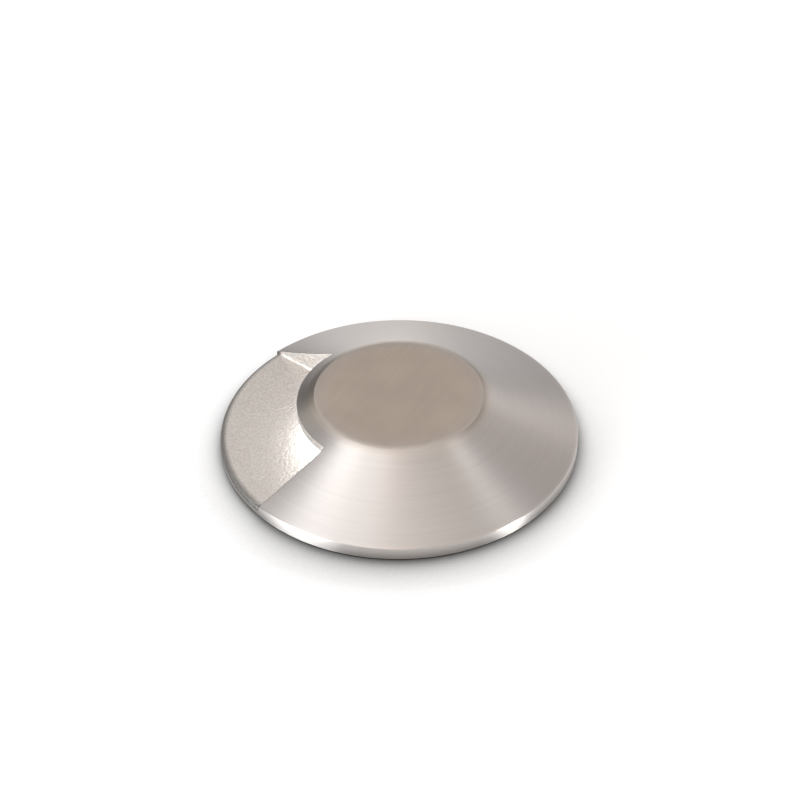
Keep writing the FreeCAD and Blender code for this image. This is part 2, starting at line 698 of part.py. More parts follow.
def make_base_screws():
    """Make the screws that hold the base, their heads sunk in it."""
    head_top = "base_foot + base_head_height"
    tip = "base_foot + base_screw_length"
    profile = [
        ("0", "base_foot"),
        ("base_head_radius", "base_foot"),
        ("base_head_radius", head_top),
        ("base_screw_radius", head_top),
        ("base_screw_radius", tip),
        ("0", tip),
    ]
    return upright_screws("base_screws", "base_screw_pitch", profile, "base_screw_count",
                          "base_socket", "base_foot", head_up=False)


def make_base_oring():
    """Make the sealing ring between base and housing."""
    body = new_body("base_oring")
    sketch = new_sketch(body, "XZ_Plane")
    middle = "spigot_radius - oring_groove_depth + oring_section"
    draw_circle(sketch, "oring_section", (middle, "oring_middle"))
    ring = body.newObject("PartDesign::Revolution", "base_oring_turned")
    ring.Profile = sketch
    ring.ReferenceAxis = (sketch, ["V_Axis"])
    ring.Angle = FULL_TURN
    body.Tip = ring
    return node(body)


# ---------------------------------------------------------------- optics and lamps


def make_lens_cup():
    """Make the opal cup that shows in the outlet."""
    body = new_body("lens_cup")
    spin(body, [
        ("lens_bore", "flange_foot"),
        ("lens_flange_radius", "flange_foot"),
        ("lens_flange_radius", "neck_top"),
        ("lens_radius", "neck_top"),
        ("lens_radius", "lens_top"),
        ("0", "lens_top"),
        ("0", "lens_ceiling"),
        ("lens_bore", "lens_ceiling"),
    ])
    round_edges(body, on_circle("lens_radius", "lens_top"), "lens_edge_round")
    return node(body)


def make_lens_gasket():
    """Make the gasket under the lens cup's flange."""
    return turned("lens_gasket", box_outline(
        "lens_bore", "lens_flange_radius", "seat_floor", "flange_foot"))


def make_clamp_ring():
    """Make the ring that clamps the lens cup down."""
    body = new_body("clamp_ring")
    ring_top = "-clamp_ring_gap"
    inner = "lens_radius + seat_play"
    spin(body, box_outline(inner, "neck_radius - clamp_ring_inset", "neck_top", ring_top))
    drilled(body, "clamp_screw_pitch", "clamp_screw_radius + thread_play", ring_top,
            "clamp_ring_thickness", "clamp_screw_count", up=False)
    drilled(body, "clamp_screw_pitch", "clamp_head_radius + sunk_head_play", ring_top,
            "clamp_head_height", "clamp_screw_count", up=False)
    return node(body)


def make_clamp_screws():
    """Make the screws of the clamp ring, their heads sunk in it."""
    ring_top = "-clamp_ring_gap"
    head_foot = f"{ring_top} - clamp_head_height"
    tip = f"{ring_top} - clamp_screw_length"
    profile = [
        ("0", tip),
        ("clamp_screw_radius", tip),
        ("clamp_screw_radius", head_foot),
        ("clamp_head_radius", head_foot),
        ("clamp_head_radius", ring_top),
        ("0", ring_top),
    ]
    return upright_screws("clamp_screws", "clamp_screw_pitch", profile, "clamp_screw_count",
                          "clamp_socket", ring_top, head_up=True)


def make_cone_mirror():
    """Make the cone that throws the light out sideways."""
    return turned("cone_mirror", [
        ("0", "lens_ceiling - mirror_length"),
        ("mirror_tip_radius", "lens_ceiling - mirror_length"),
        ("mirror_radius", "lens_ceiling - mirror_rim"),
        ("mirror_radius", "lens_ceiling"),
        ("0", "lens_ceiling"),
    ])


def make_thermal_pad():
    """Make the heat pad under the lamp board."""
    body = new_body("thermal_pad")
    spin(body, box_outline("bush_radius + joint_play", "board_radius", "-deck_top", "pad_top"))
    drilled(body, "board_screw_pitch", "board_hole", "-deck_top", "pad_thickness",
            "board_screw_count", up=True)
    return node(body)


def make_led_board():
    """Make the round board that carries the lamp chips."""
    body = new_body("led_board")
    sketch = level_sketch(body, "pad_top")
    draw_circle(sketch, "board_radius")
    extrude(body, sketch, "board_thickness")
    drilled(body, "board_screw_pitch", "board_hole", "pad_top", "board_thickness",
            "board_screw_count", up=True)
    drilled(body, "pin_spacing / 2", "pin_hole", "pad_top", "board_thickness", "pin_count",
            up=True)
    return node(body)


def make_led_chips():
    """Make the ring of lamp chips."""
    body = new_body("led_chips", several=True)
    sketch = level_sketch(body, "board_top", x="chip_pitch")
    half = "chip_side / 2"
    draw(sketch, box_outline(f"-{half}", half, f"-{half}", half))
    chip = extrude(body, sketch, "chip_height")
    ring_of(body, [chip], "chip_count")
    return node(body)


def pan_head(face, tip, head_up):
    """Return the outline of an upright pan-head screw."""
    head = f"{face} + pan_head_height" if head_up else f"{face} - pan_head_height"
    shank = "board_screw_radius"
    outline = [("0", tip), (shank, tip), (shank, face), ("pan_head_radius", face),
               ("pan_head_radius", head), ("0", head)]
    return outline if head_up else outline[::-1]


def make_board_screws():
    """Make the screws that press the lamp board onto the deck."""
    profile = pan_head("board_top", "-deck_top - board_screw_reach", head_up=True)
    return upright_screws("board_screws", "board_screw_pitch", profile, "board_screw_count",
                          "pan_socket", "board_top + pan_head_height", head_up=True)


# ---------------------------------------------------------------- supply


def make_pin_bush():
    """Make the insulating bush that carries the feed pins through the deck."""
    body = new_body("pin_bush")
    spin(body, [
        ("0", "deck_foot - bush_flange_thickness"),
        ("bush_flange_radius", "deck_foot - bush_flange_thickness"),
        ("bush_flange_radius", "deck_foot"),
        ("bush_radius", "deck_foot"),
        ("bush_radius", "pad_top"),
        ("0", "pad_top"),
    ])
    height = "pad_top - deck_foot + bush_flange_thickness"
    drilled(body, "pin_spacing / 2", "pin_hole", "pad_top", height, "pin_count", up=False)
    return node(body)


def make_feed_pins():
    """Make the pins from driver to lamp board."""
    body = new_body("feed_pins", several=True)
    sketch = level_sketch(body, "board_top + pin_stand", x="pin_spacing / 2")
    draw_circle(sketch, "pin_radius")
    length = "board_top + pin_stand - deck_foot + bush_flange_thickness + pin_reach"
    pin = extrude(body, sketch, length, up=False)
    ring_of(body, [pin], "pin_count")
    return node(body)


def make_driver_case():
    """Make the potted driver, with a socket for the bush and two lugs."""
    body = new_body("driver_case")
    can = level_sketch(body, "deck_foot")
    draw_circle(can, "driver_radius")
    extrude(body, can, "driver_height", up=False)
    lugs = level_sketch(body, "deck_foot")
    draw(lugs, box_outline("-driver_lug_reach", "driver_lug_reach",
                           "-driver_lug_width / 2", "driver_lug_width / 2"))
    extrude(body, lugs, "driver_lug_thickness", up=False)
    drilled(body, "driver_screw_pitch", "board_hole", "deck_foot", "driver_lug_thickness",
            "driver_screw_count", up=False)
    socket = level_sketch(body, "deck_foot")
    draw_circle(socket, "bush_flange_radius + joint_play")
    extrude(body, socket, "bush_flange_thickness", up=False, cut=True)
    drilled(body, "pin_spacing / 2", "pin_hole", "deck_foot",
            "bush_flange_thickness + pin_reach", "pin_count", up=False)
    return node(body)


def make_driver_screws():
    """Make the screws that hold the driver under the deck."""
    profile = pan_head("deck_foot - driver_lug_thickness", "deck_foot + board_screw_reach",
                       head_up=False)
    foot = "deck_foot - driver_lug_thickness - pan_head_height"
    return upright_screws("driver_screws", "driver_screw_pitch", profile, "driver_screw_count",
                          "pan_socket", foot, head_up=False)


def pole_places():
    """Return how far across each pole of the terminal block lies."""
    poles = range(int(value("pole_count")))
    return [f"pole_pitch * ({number} - (pole_count - 1) / 2)" for number in poles]


def make_terminal_block():
    """Make the block of terminals under the driver, open for wires and screws."""
    body = new_body("terminal_block")
    sketch = level_sketch(body, "driver_foot", x="block_offset")
    half_width = "block_width / 2"
    half_length = "block_length / 2"
    draw(sketch, box_outline(f"-{half_width}", half_width, f"-{half_length}", half_length))
    extrude(body, sketch, "block_height", up=False)
    for across in pole_places():
        screw_hole = level_sketch(body, "block_foot", x="block_offset", y=across)
        draw_circle(screw_hole, "pole_screw_radius + joint_play")
        extrude(body, screw_hole, "pole_hole_depth", up=True, cut=True)
        wire_hole = new_sketch(
            body, "YZ_Plane",
            (across, "driver_foot - pole_entry_depth", f"block_offset - {half_width}"))
        draw_circle(wire_hole, "pole_entry_radius")
        extrude(body, wire_hole, "block_width", up=True, cut=True)
    return node(body)


def make_terminal_screws():
    """Make the slotted screws of the terminals."""
    body = new_body("terminal_screws", several=True)
    for across in pole_places():
        sketch = level_sketch(body, "pole_hole_end", x="block_offset", y=across)
        draw_circle(sketch, "pole_screw_radius")
        extrude(body, sketch, "pole_screw_length", up=False)
    face = "pole_hole_end - pole_screw_length"
    half_slot = "pole_slot_width / 2"
    for across in pole_places():
        slot = level_sketch(body, face, x="block_offset", y=across)
        draw(slot, box_outline(
            f"-{half_slot}", half_slot, "-pole_screw_radius", "pole_screw_radius"))
        extrude(body, slot, "drive_depth", up=True, cut=True)
    return node(body)


# ---------------------------------------------------------------- gland and breather


def make_gland_body():
    """Make the gland: thread through the base, hexagon, and tail for the nut."""
    body = new_body("gland_body")
    spin(body, [
        ("cable_hole_radius + joint_play", "gland_hex_foot"),
        ("gland_seal_radius + joint_play", "gland_tail_foot"),
        ("gland_tail_radius", "gland_tail_foot"),
        ("gland_tail_radius", "gland_face"),
        ("gland_thread_radius", "gland_face"),
        ("gland_thread_radius", "gland_thread_top"),
        ("cable_hole_radius + joint_play", "gland_thread_top"),
    ])
    sketch = level_sketch(body, "gland_hex_foot")
    draw(sketch, hexagon("gland_hex"))
    draw_circle(sketch, "gland_tail_radius - gland_lap")
    extrude(body, sketch, "gland_flange")
    return node(body)


def make_gland_washer():
    """Make the rubber washer between gland and base."""
    return turned("gland_washer", box_outline(
        "gland_thread_radius + joint_play", "gland_hex / 2", "gland_face", "base_foot"))


def make_gland_locknut():
    """Make the nut that holds the gland from inside."""
    body = new_body("gland_locknut")
    sketch = level_sketch(body, "-body_depth")
    draw(sketch, hexagon("gland_hex"))
    draw_circle(sketch, "gland_thread_radius + thread_play")
    extrude(body, sketch, "gland_locknut_height")
    return node(body)


def make_gland_seal():
    """Make the tapered rubber seal that grips the cable."""
    return turned("gland_seal", [
        ("cable_hole_radius", "gland_tail_foot - seal_foot"),
        ("gland_seal_radius", "gland_tail_foot - seal_foot"),
        ("gland_seal_radius", "gland_tail_foot"),
        ("cable_hole_radius + joint_play * 2", "gland_hex_foot - seal_setback"),
        ("cable_hole_radius", "gland_hex_foot - seal_setback"),
    ])


def make_gland_nut():
    """Make the dome nut that squeezes the seal."""
    body = new_body("gland_nut")
    mouth = "cable_hole_radius + gland_mouth_play"
    thread = "gland_tail_radius + thread_play"
    seat = "gland_tail_foot - seal_foot"
    spin(body, [
        (mouth, "gland_nut_foot"),
        ("gland_nut_radius", "gland_nut_foot"),
        ("gland_nut_radius", "gland_nut_top"),
        (thread, "gland_nut_top"),
        (thread, seat),
        (mouth, seat),
    ])
    round_edges(body, on_circle("gland_nut_radius", "gland_nut_foot"), "gland_nut_round")
    return node(body)


def make_vent_plug():
    """Make the breather that keeps the housing free of condensation."""
    body = new_body("vent_plug")
    head = level_sketch(body, "base_foot", x="-vent_offset")
    draw(head, hexagon("vent_hex"))
    extrude(body, head, "vent_head", up=False)
    shank = level_sketch(body, "base_foot", x="-vent_offset")
    draw_circle(shank, "vent_radius")
    extrude(body, shank, "base_thickness + vent_stand")
    return node(body)


# ---------------------------------------------------------------- spring clips


def make_clip_feet():
    """Make the feet by which the spring clips are screwed on."""
    body = new_body("clip_feet", several=True)
    half_width = "clip_width / 2"
    sketch = level_sketch(body, "-clip_bend_depth")
    draw(sketch, box_outline("clip_seat", "clip_seat + clip_thickness",
                             f"-{half_width}", half_width))
    foot = extrude(body, sketch, "clip_foot_length", up=False)
    hole_sketch = new_sketch(body, "YZ_Plane", ("0", "clip_screw_height", "clip_seat"))
    draw_circle(hole_sketch, "clip_screw_radius + thread_play")
    hole = extrude(body, hole_sketch, "clip_thickness", up=True, cut=True)
    ring_of(body, [foot, hole], "clip_count")
    return node(body)


def make_clip_screws():
    """Make the screws of the spring clips."""
    tip = "clip_seat - clip_screw_reach"
    seat = "clip_seat + clip_thickness"
    face = f"{seat} + pan_head_height"
    profile = [(tip, "0"), (tip, "clip_screw_radius"), (seat, "clip_screw_radius"),
               (seat, "pan_head_radius"), (face, "pan_head_radius"), (face, "0")]
    return radial_screws("clip_screws", "clip_screw_height", profile, "clip_count",
                         "pan_socket", face)


def across_strip(body, sketch):
    """Pad an upright outline to the width of the clip strip."""
    feature = body.newObject("PartDesign::Pad", f"{body.Label}_pad")
    feature.Profile = sketch
    feature.Midplane = True
    bind(feature, "Length", "clip_width")
    body.Tip = feature


def make_clip_leaf(number):
    """Make the springing leaf of one clip, rolled at its root, in its place."""
    body = new_body(f"clip_leaf_{number + 1}")
    root_inner = "clip_seat + clip_root_gap"
    inner = [(root_inner, "clip_root"), ("clip_crest", "clip_crest_height"),
             ("clip_crest - clip_tip_drop", "clip_tip_height")]
    outer = [(f"{x} + clip_thickness", z) for x, z in reversed(inner)]
    strip = new_sketch(body, "XZ_Plane")
    draw(strip, outer + inner)
    across_strip(body, strip)
    roll = new_sketch(body, "XZ_Plane")
    draw_circle(roll, "clip_thickness / 2", (f"{root_inner} + clip_thickness / 2", "clip_root"))
    across_strip(body, roll)
    round_edges(body, at_crest, "clip_crest_round")
    turn = FULL_TURN / value("clip_count") * number
    axis = FreeCAD.Vector(0, 0, 1)
    body.Placement = FreeCAD.Placement(FreeCAD.Vector(), FreeCAD.Rotation(axis, turn))
    return node(body)


def at_crest(edge):
    """Tell the edges across the strip at the clip's crest."""
    box = edge.BoundBox
    across = box.YLength > value("clip_width") * NEARLY_ALL
    return across and abs(box.ZMax - value("clip_crest_height")) < SAME_HEIGHT


# ---------------------------------------------------------------- the sleeve


def make_sleeve_tube():
    """Make the tube that is set into the ground."""
    lead = "sleeve_lead"
    return turned("sleeve_tube", [
        ("sleeve_bore", "sleeve_plate_top"),
        ("sleeve_outer", "sleeve_plate_top"),
        ("sleeve_outer", "0"),
        (f"sleeve_bore + {lead}", "0"),
        ("sleeve_bore", f"-{lead}"),
    ])


def make_sleeve_base():
    """Make the plate under the tube, with its cable hole and drain holes."""
    body = new_body("sleeve_base")
    spigot = "sleeve_bore - joint_play"
    spigot_top = "sleeve_plate_top + sleeve_spigot_height"
    spin(body, [
        ("grommet_radius + joint_play", "-sleeve_depth"),
        ("sleeve_outer", "-sleeve_depth"),
        ("sleeve_outer", "sleeve_plate_top"),
        (spigot, "sleeve_plate_top"),
        (spigot, spigot_top),
        (f"{spigot} - sleeve_spigot_wall", spigot_top),
        (f"{spigot} - sleeve_spigot_wall", "sleeve_plate_top"),
        ("grommet_radius + joint_play", "sleeve_plate_top"),
    ])
    drilled(body, "drain_pitch", "drain_radius", "-sleeve_depth", "sleeve_base_thickness",
            "drain_count", up=True)
    return node(body)


def make_cable_grommet():
    """Make the grommet for the cable in the sleeve's base."""
    flange_top = "sleeve_plate_top + grommet_flange_thickness"
    return turned("cable_grommet", [
        ("cable_hole_radius", "-sleeve_depth"),
        ("grommet_radius", "-sleeve_depth"),
        ("grommet_radius", "sleeve_plate_top"),
        ("grommet_radius + grommet_flange", "sleeve_plate_top"),
        ("grommet_radius + grommet_flange", flange_top),
        ("cable_hole_radius", flange_top),
    ])


# ---------------------------------------------------------------- checks and files


def check_document():
    """Stop if an object failed, a piece has no sound solid, or a cut missed."""
    for thing in doc.Objects:
        if "Invalid" in thing.State or "Error" in thing.State:
            raise RuntimeError(f"{thing.Label} failed: {thing.State}")
    for thing in doc.Objects:
        if thing.TypeId in ("PartDesign::Pocket", "PartDesign::Groove"):
            if thing.Shape.Volume > thing.BaseFeature.Shape.Volume - LEAST_CUT:
                raise RuntimeError(f"{thing.Label} cuts nothing")
    for piece in NODES:
        if piece.Shape.isNull() or not piece.Shape.isValid() or not piece.Shape.Solids:
            raise RuntimeError(f"{piece.Label} has no sound solid")


def write_nodes():
    """Write each piece to its own file."""
    os.makedirs("parts", exist_ok=True)
    for piece in NODES:
        piece.Shape.exportStep(f"parts/{piece.Label}.step")
        print(f"{piece.Label}: {len(piece.Shape.Solids)} solid(s), {piece.Shape.Volume:.1f} mm3")


fill_sheet()
make_cover()
make_rim_gasket()
make_grub_screws()
make_housing()
make_housing_base()
make_base_screws()
make_base_oring()
make_lens_cup()
make_lens_gasket()
make_clamp_ring()
make_clamp_screws()
make_cone_mirror()
make_thermal_pad()
make_led_board()
make_led_chips()
make_board_screws()
make_pin_bush()
make_feed_pins()
make_driver_case()
make_driver_screws()
make_terminal_block()
make_terminal_screws()
make_gland_body()
make_gland_washer()
make_gland_locknut()
make_gland_seal()
make_gland_nut()
make_vent_plug()
make_clip_feet()
make_clip_screws()
for clip_number in range(int(value("clip_count"))):
    make_clip_leaf(clip_number)
make_sleeve_tube()
make_sleeve_base()
make_cable_grommet()
doc.recompute()
check_document()
write_nodes()
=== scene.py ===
"""Looks of a one-way in-ground light: a domed steel cover over a sealed light unit.

Everything is in metres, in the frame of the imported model: the ground is at z = 0,
the light's axis is Z, and the outlet in the cover faces -Y.
"""

import logging
import math
from collections import Counter
from collections.abc import Callable, Iterable
from dataclasses import dataclass
from enum import Enum, IntEnum

import bpy
from mathutils import Matrix, Vector

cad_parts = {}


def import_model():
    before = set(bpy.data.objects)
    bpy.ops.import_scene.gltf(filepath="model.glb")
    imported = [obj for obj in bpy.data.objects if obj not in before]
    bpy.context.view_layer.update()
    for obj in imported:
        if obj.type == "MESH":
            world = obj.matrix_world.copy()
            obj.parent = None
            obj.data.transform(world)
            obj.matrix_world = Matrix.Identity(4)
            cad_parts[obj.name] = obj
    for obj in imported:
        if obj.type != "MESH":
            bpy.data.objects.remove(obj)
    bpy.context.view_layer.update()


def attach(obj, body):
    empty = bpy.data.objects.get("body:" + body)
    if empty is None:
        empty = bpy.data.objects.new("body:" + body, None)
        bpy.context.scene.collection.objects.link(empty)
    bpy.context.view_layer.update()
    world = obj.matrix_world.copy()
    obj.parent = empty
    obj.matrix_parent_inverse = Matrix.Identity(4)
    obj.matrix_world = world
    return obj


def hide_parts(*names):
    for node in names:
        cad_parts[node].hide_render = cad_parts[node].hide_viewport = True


LOG = logging.getLogger("ground_light")
MM = 0.001
FULL_TURN = 2 * math.pi
MARK_DETAIL = 3.0
STRAIGHT_STRETCH = (1.0, 1.0, 0.04)
Triple = tuple[float, float, float]
Colour = Triple
Point = tuple[float, float]
Socket = bpy.types.NodeSocket
Value = float | Triple | Socket
Element = bpy.types.MeshEdge | bpy.types.MeshPolygon


# ---------------------------------------------------------------- shader helpers


class Nodes:
    """Short calls for the nodes of a material, a lamp or the world."""

    def __init__(self, tree: bpy.types.NodeTree) -> None:
        """Work in a node tree."""
        self.tree = tree

    def node(self, kind: str, **settings: object) -> bpy.types.Node:
        """Add a node.

        Args:
            kind: The node's type, without the word ShaderNode.
            **settings: Properties to set on it.

        Returns:
            The new node.
        """
        made = self.tree.nodes.new("ShaderNode" + kind)
        for name, value in settings.items():
            setattr(made, name, value)
        return made

    def feed(self, target: Socket, value: Value) -> None:
        """Link a socket into another, or set it where the value is a constant.

        Args:
            target: The socket to feed.
            value: A socket, a number, or a colour or vector of three numbers.
        """
        if isinstance(value, Socket):
            self.tree.links.new(value, target)
        elif target.type == "RGBA":
            target.default_value = (*value, 1.0)
        else:
            target.default_value = value

    def run(self, kind: str, inputs: dict[str | int, Value], result: str | int = 0,
            **settings: object) -> Socket:
        """Add a node and feed it.

        Args:
            kind: The node's type, without the word ShaderNode.
            inputs: What goes into it, by the socket's name or place.
            result: The name or place of the output that is wanted.
            **settings: Properties to set on it.

        Returns:
            The wanted output.
        """
        made = self.node(kind, **settings)
        for place, value in inputs.items():
            self.feed(made.inputs[place], value)
        return made.outputs[result]

    def math(self, operation: str, *values: Value, clamp: bool = False) -> Socket:
        """Return a Math operation's result, kept between 0 and 1 where clamp is set."""
        return self.run("Math", dict(enumerate(values)), operation=operation, use_clamp=clamp)

    def vector(self, *numbers: Value) -> Socket:
        """Return three numbers joined into a vector."""
        return self.run("CombineXYZ", dict(enumerate(numbers)))

    def parts(self, vector: Socket) -> tuple[Socket, ...]:
        """Return a vector's three numbers."""
        return tuple(self.run("SeparateXYZ", {0: vector}).node.outputs)

    def vector_math(self, operation: str, *values: Value, result: str = "Vector") -> Socket:
        """Return a Vector Math operation's result."""
        return self.run("VectorMath", dict(enumerate(values)), result, operation=operation)

    def ramp(self, value: Value, low: float, high: float) -> Socket:
        """Return a smooth step from 0 at low to 1 at high."""
        return self.run("MapRange", {"Value": value, "From Min": low, "From Max": high},
                        interpolation_type="SMOOTHSTEP")

    def mix(self, share: Value, first: Value, second: Value) -> Socket:
        """Return a mix of two colours, where a share of 1 is the second."""
        return self.run("Mix", {0: share, 6: first, 7: second}, 2, data_type="RGBA")

    def blend(self, share: Value, first: Value, second: Value) -> Socket:
        """Return a mix of two numbers, where a share of 1 is the second."""
        return self.run("Mix", {0: share, 2: first, 3: second}, data_type="FLOAT")


class Shader(Nodes):
    """A material under construction."""

    def __init__(self, name: str) -> None:
        """Start an empty material.

        Args:
            name: The material's name.
        """
        self.material = bpy.data.materials.new(name)
        self.material.use_nodes = True
        super().__init__(self.material.node_tree)
        self.tree.nodes.clear()
        self.place = self.run("TexCoord", {}, "Object")

    def noise(self, vector: Socket, scale: float, detail: float) -> Socket:
        """Return fine random variation from 0 to 1, in the space of a vector."""
        return self.run("TexNoise", {"Vector": vector, "Scale": scale, "Detail": detail}, "Fac")

    def stretched(self, scale: Triple, turn: float = 0.0) -> Socket:
        """Return Object coordinates, turned about Z and then stretched."""
        turned = self.run("Mapping", {"Vector": self.place, "Rotation": (0.0, 0.0, turn)})
        return self.run("Mapping", {"Vector": turned, "Scale": scale})

    def polar(self) -> tuple[Socket, Socket, Socket]:
        """Find each point's place round the Z axis.

        Returns:
            The distance from the axis, the angle round it, and the height.
        """
        x, y, z = self.parts(self.place)
        squares = self.math("ADD", self.math("MULTIPLY", x, x), self.math("MULTIPLY", y, y))
        return self.math("SQRT", squares), self.math("ARCTAN2", y, x), z

    def rings(self, pitch: float, breaks: float, detail: float = 4.0) -> Socket:
        """Draw lines turned round the Z axis.

        Args:
            pitch: Distance from line to line.
            breaks: How often a line starts and ends on its way round.
            detail: How many finer layers the lines have.

        Returns:
            Heights from 0 to 1.
        """
        radius, angle, height = self.polar()
        return self.noise(self.vector(
            self.math("DIVIDE", radius, pitch), self.math("MULTIPLY", angle, breaks),
            self.math("DIVIDE", height, pitch)), 1.0, detail)

    def stray(self, middle: float, marks: Socket, reach: float) -> Socket:
        """Return a number that marks from 0 to 1 move by half a reach either way."""
        return self.math("MULTIPLY_ADD", marks, reach, middle - reach / 2)

    def bump(self, height: Socket, depth: float, below: Socket | None = None) -> Socket:
        """Turn heights into a bumped normal.

        Args:
            height: Heights from 0 to 1.
            depth: What 1 stands for, in metres.
            below: A bumped normal to add to.

        Returns:
            The normal.
        """
        inputs = {"Height": height, "Distance": depth, "Strength": 1.0}
        if below is not None:
            inputs["Normal"] = below
        return self.run("Bump", inputs)

    def shaded(self, colour: Value, light: Value) -> Socket:
        """Return a colour made lighter or darker by a number round 1."""
        return self.run("VectorMath", {0: colour, "Scale": light}, operation="SCALE")

    def to_world(self, vector: Value) -> Socket:
        """Return a direction of the object's own space in the world's."""
        return self.run("VectorTransform", {0: vector}, vector_type="VECTOR",
                        convert_from="OBJECT", convert_to="WORLD")

    def across_turning(self) -> Socket:
        """Find the direction in the surface that crosses lines turned round the Z axis.

        Returns:
            The direction, along which turned metal spreads its sheen.
        """
        x, y, _ = self.parts(self.place)
        along = self.to_world(self.vector(self.math("MULTIPLY", y, -1.0), x, 0.0))
        facing = self.run("NewGeometry", {}, "Normal")
        return self.vector_math("NORMALIZE", self.vector_math("CROSS_PRODUCT", facing, along))

    def close(self, surface: Socket) -> bpy.types.Material:
        """Give the material its surface, and return it."""
        self.feed(self.node("OutputMaterial").inputs["Surface"], surface)
        return self.material

    def metal(self, colour: Socket, roughness: Socket, normal: Socket,
              **sheen: Value) -> bpy.types.Material:
        """Close the material as bare metal.

        Args:
            colour: Its colour.
            roughness: Its roughness.
            normal: Its bumped normal.
            **sheen: Anisotropic and Tangent, where the sheen runs one way.

        Returns:
            The material.
        """
        return self.close(self.run("BsdfPrincipled", {
            "Base Color": colour, "Metallic": 1.0, "Roughness": roughness, "Normal": normal,
            **sheen}))


# ---------------------------------------------------------------- finishes


class Grain(Enum):
    """How a surface was worked, which sets the way its marks run."""

    TURNED = "turned"
    STRAIGHT = "straight"
    CAST = "cast"


@dataclass(frozen=True)
class Finish:
    """A worked surface: colour, sheen, and the marks its making left.

    Attributes:
        name: The material's name.
        colour: Linear colour of most of it.
        stain: Linear colour of its rubbed or dusty places.
        metal: 1 for bare metal, 0 for plastic, rubber and ceramics.
        roughness: Middle roughness.
        uneven: How far the roughness strays from its middle.
        sheen_run: Anisotropy of the sheen, from 0 to 1.
        grain: How the surface was worked.
        pitch: Size of one mark, in metres.
        depth: Height of the marks, in metres.
        gloss: Strength of the clear reflection on what isn't metal.
        stain_size: Size of a stained place, in pitches.
        stain_edges: Where between 0 and 1 a stain starts and is full.
    """

    name: str
    colour: Colour
    stain: Colour
    metal: float = 0.0
    roughness: float = 0.4
    uneven: float = 0.08
    sheen_run: float = 0.0
    grain: Grain = Grain.CAST
    pitch: float = 0.6 * MM
    depth: float = 0.02 * MM
    gloss: float = 0.5
    stain_size: float = 25.0
    stain_edges: Point = (0.42, 0.72)

    def marks(self, shader: Shader) -> Socket:
        """Draw the working marks.

        Args:
            shader: The material under construction.

        Returns:
            Heights from 0 to 1.
        """
        if self.grain is Grain.TURNED:
            return shader.rings(self.pitch, 1.0, MARK_DETAIL)
        straight = self.grain is Grain.STRAIGHT
        place = shader.stretched(STRAIGHT_STRETCH) if straight else shader.place
        return shader.noise(place, 1 / self.pitch, MARK_DETAIL)

    def build(self) -> bpy.types.Material:
        """Make the material.

        Returns:
            The material, ready to assign.
        """
        shader = Shader(self.name)
        marks = self.marks(shader)
        clouds = shader.noise(shader.place, 1 / (self.stain_size * self.pitch), 4.0)
        inputs = {
            "Base Color": shader.mix(shader.ramp(clouds, *self.stain_edges),
                                     self.colour, self.stain),
            "Metallic": self.metal, "Specular IOR Level": self.gloss,
            "Roughness": shader.stray(self.roughness, marks, 2 * self.uneven),
            "Normal": shader.bump(marks, self.depth),
        }
        if self.sheen_run:
            inputs.update({"Anisotropic": self.sheen_run, "Tangent": shader.across_turning()})
        return shader.close(shader.run("BsdfPrincipled", inputs))


@dataclass(frozen=True)
class SlopeSteel:
    """Stainless steel of the cover's slope, turned and brushed round the axis."""

    name: str = "slope_steel"
    colour: Colour = (0.575, 0.545, 0.53)
    # Painted reflection: near the top the slope takes the flat top's warm tint, which stands in for
    # the same reflected surroundings.
    painted_top_tint: Colour = (0.60, 0.545, 0.50)
    top_start: float = 28.0 * MM
    top_end: float = 32.5 * MM
    roughness: float = 0.36
    uneven: float = 0.16
    anisotropy: float = 0.87
    line_pitch: float = 0.30 * MM
    line_breaks: float = 2.0
    line_depth: float = 0.009 * MM
    line_light: float = 0.3
    broad_pitch: float = 1.5 * MM
    broad_breaks: float = 0.6
    broad_share: float = 0.4

    def build(self) -> bpy.types.Material:
        """Make the material.

        Returns:
            The material, ready to assign.
        """
        shader = Shader(self.name)
        rings = shader.blend(self.broad_share, shader.rings(self.line_pitch, self.line_breaks),
                             shader.rings(self.broad_pitch, self.broad_breaks))
        slope_share = shader.ramp(shader.polar()[0], self.top_start, self.top_end)
        colour = shader.mix(slope_share, self.painted_top_tint, self.colour)
        return shader.metal(
            shader.shaded(colour, shader.stray(1.0, rings, self.line_light)),
            shader.stray(self.roughness, rings, self.uneven),
            shader.bump(rings, self.line_depth),
            Anisotropic=self.anisotropy, Tangent=shader.across_turning())


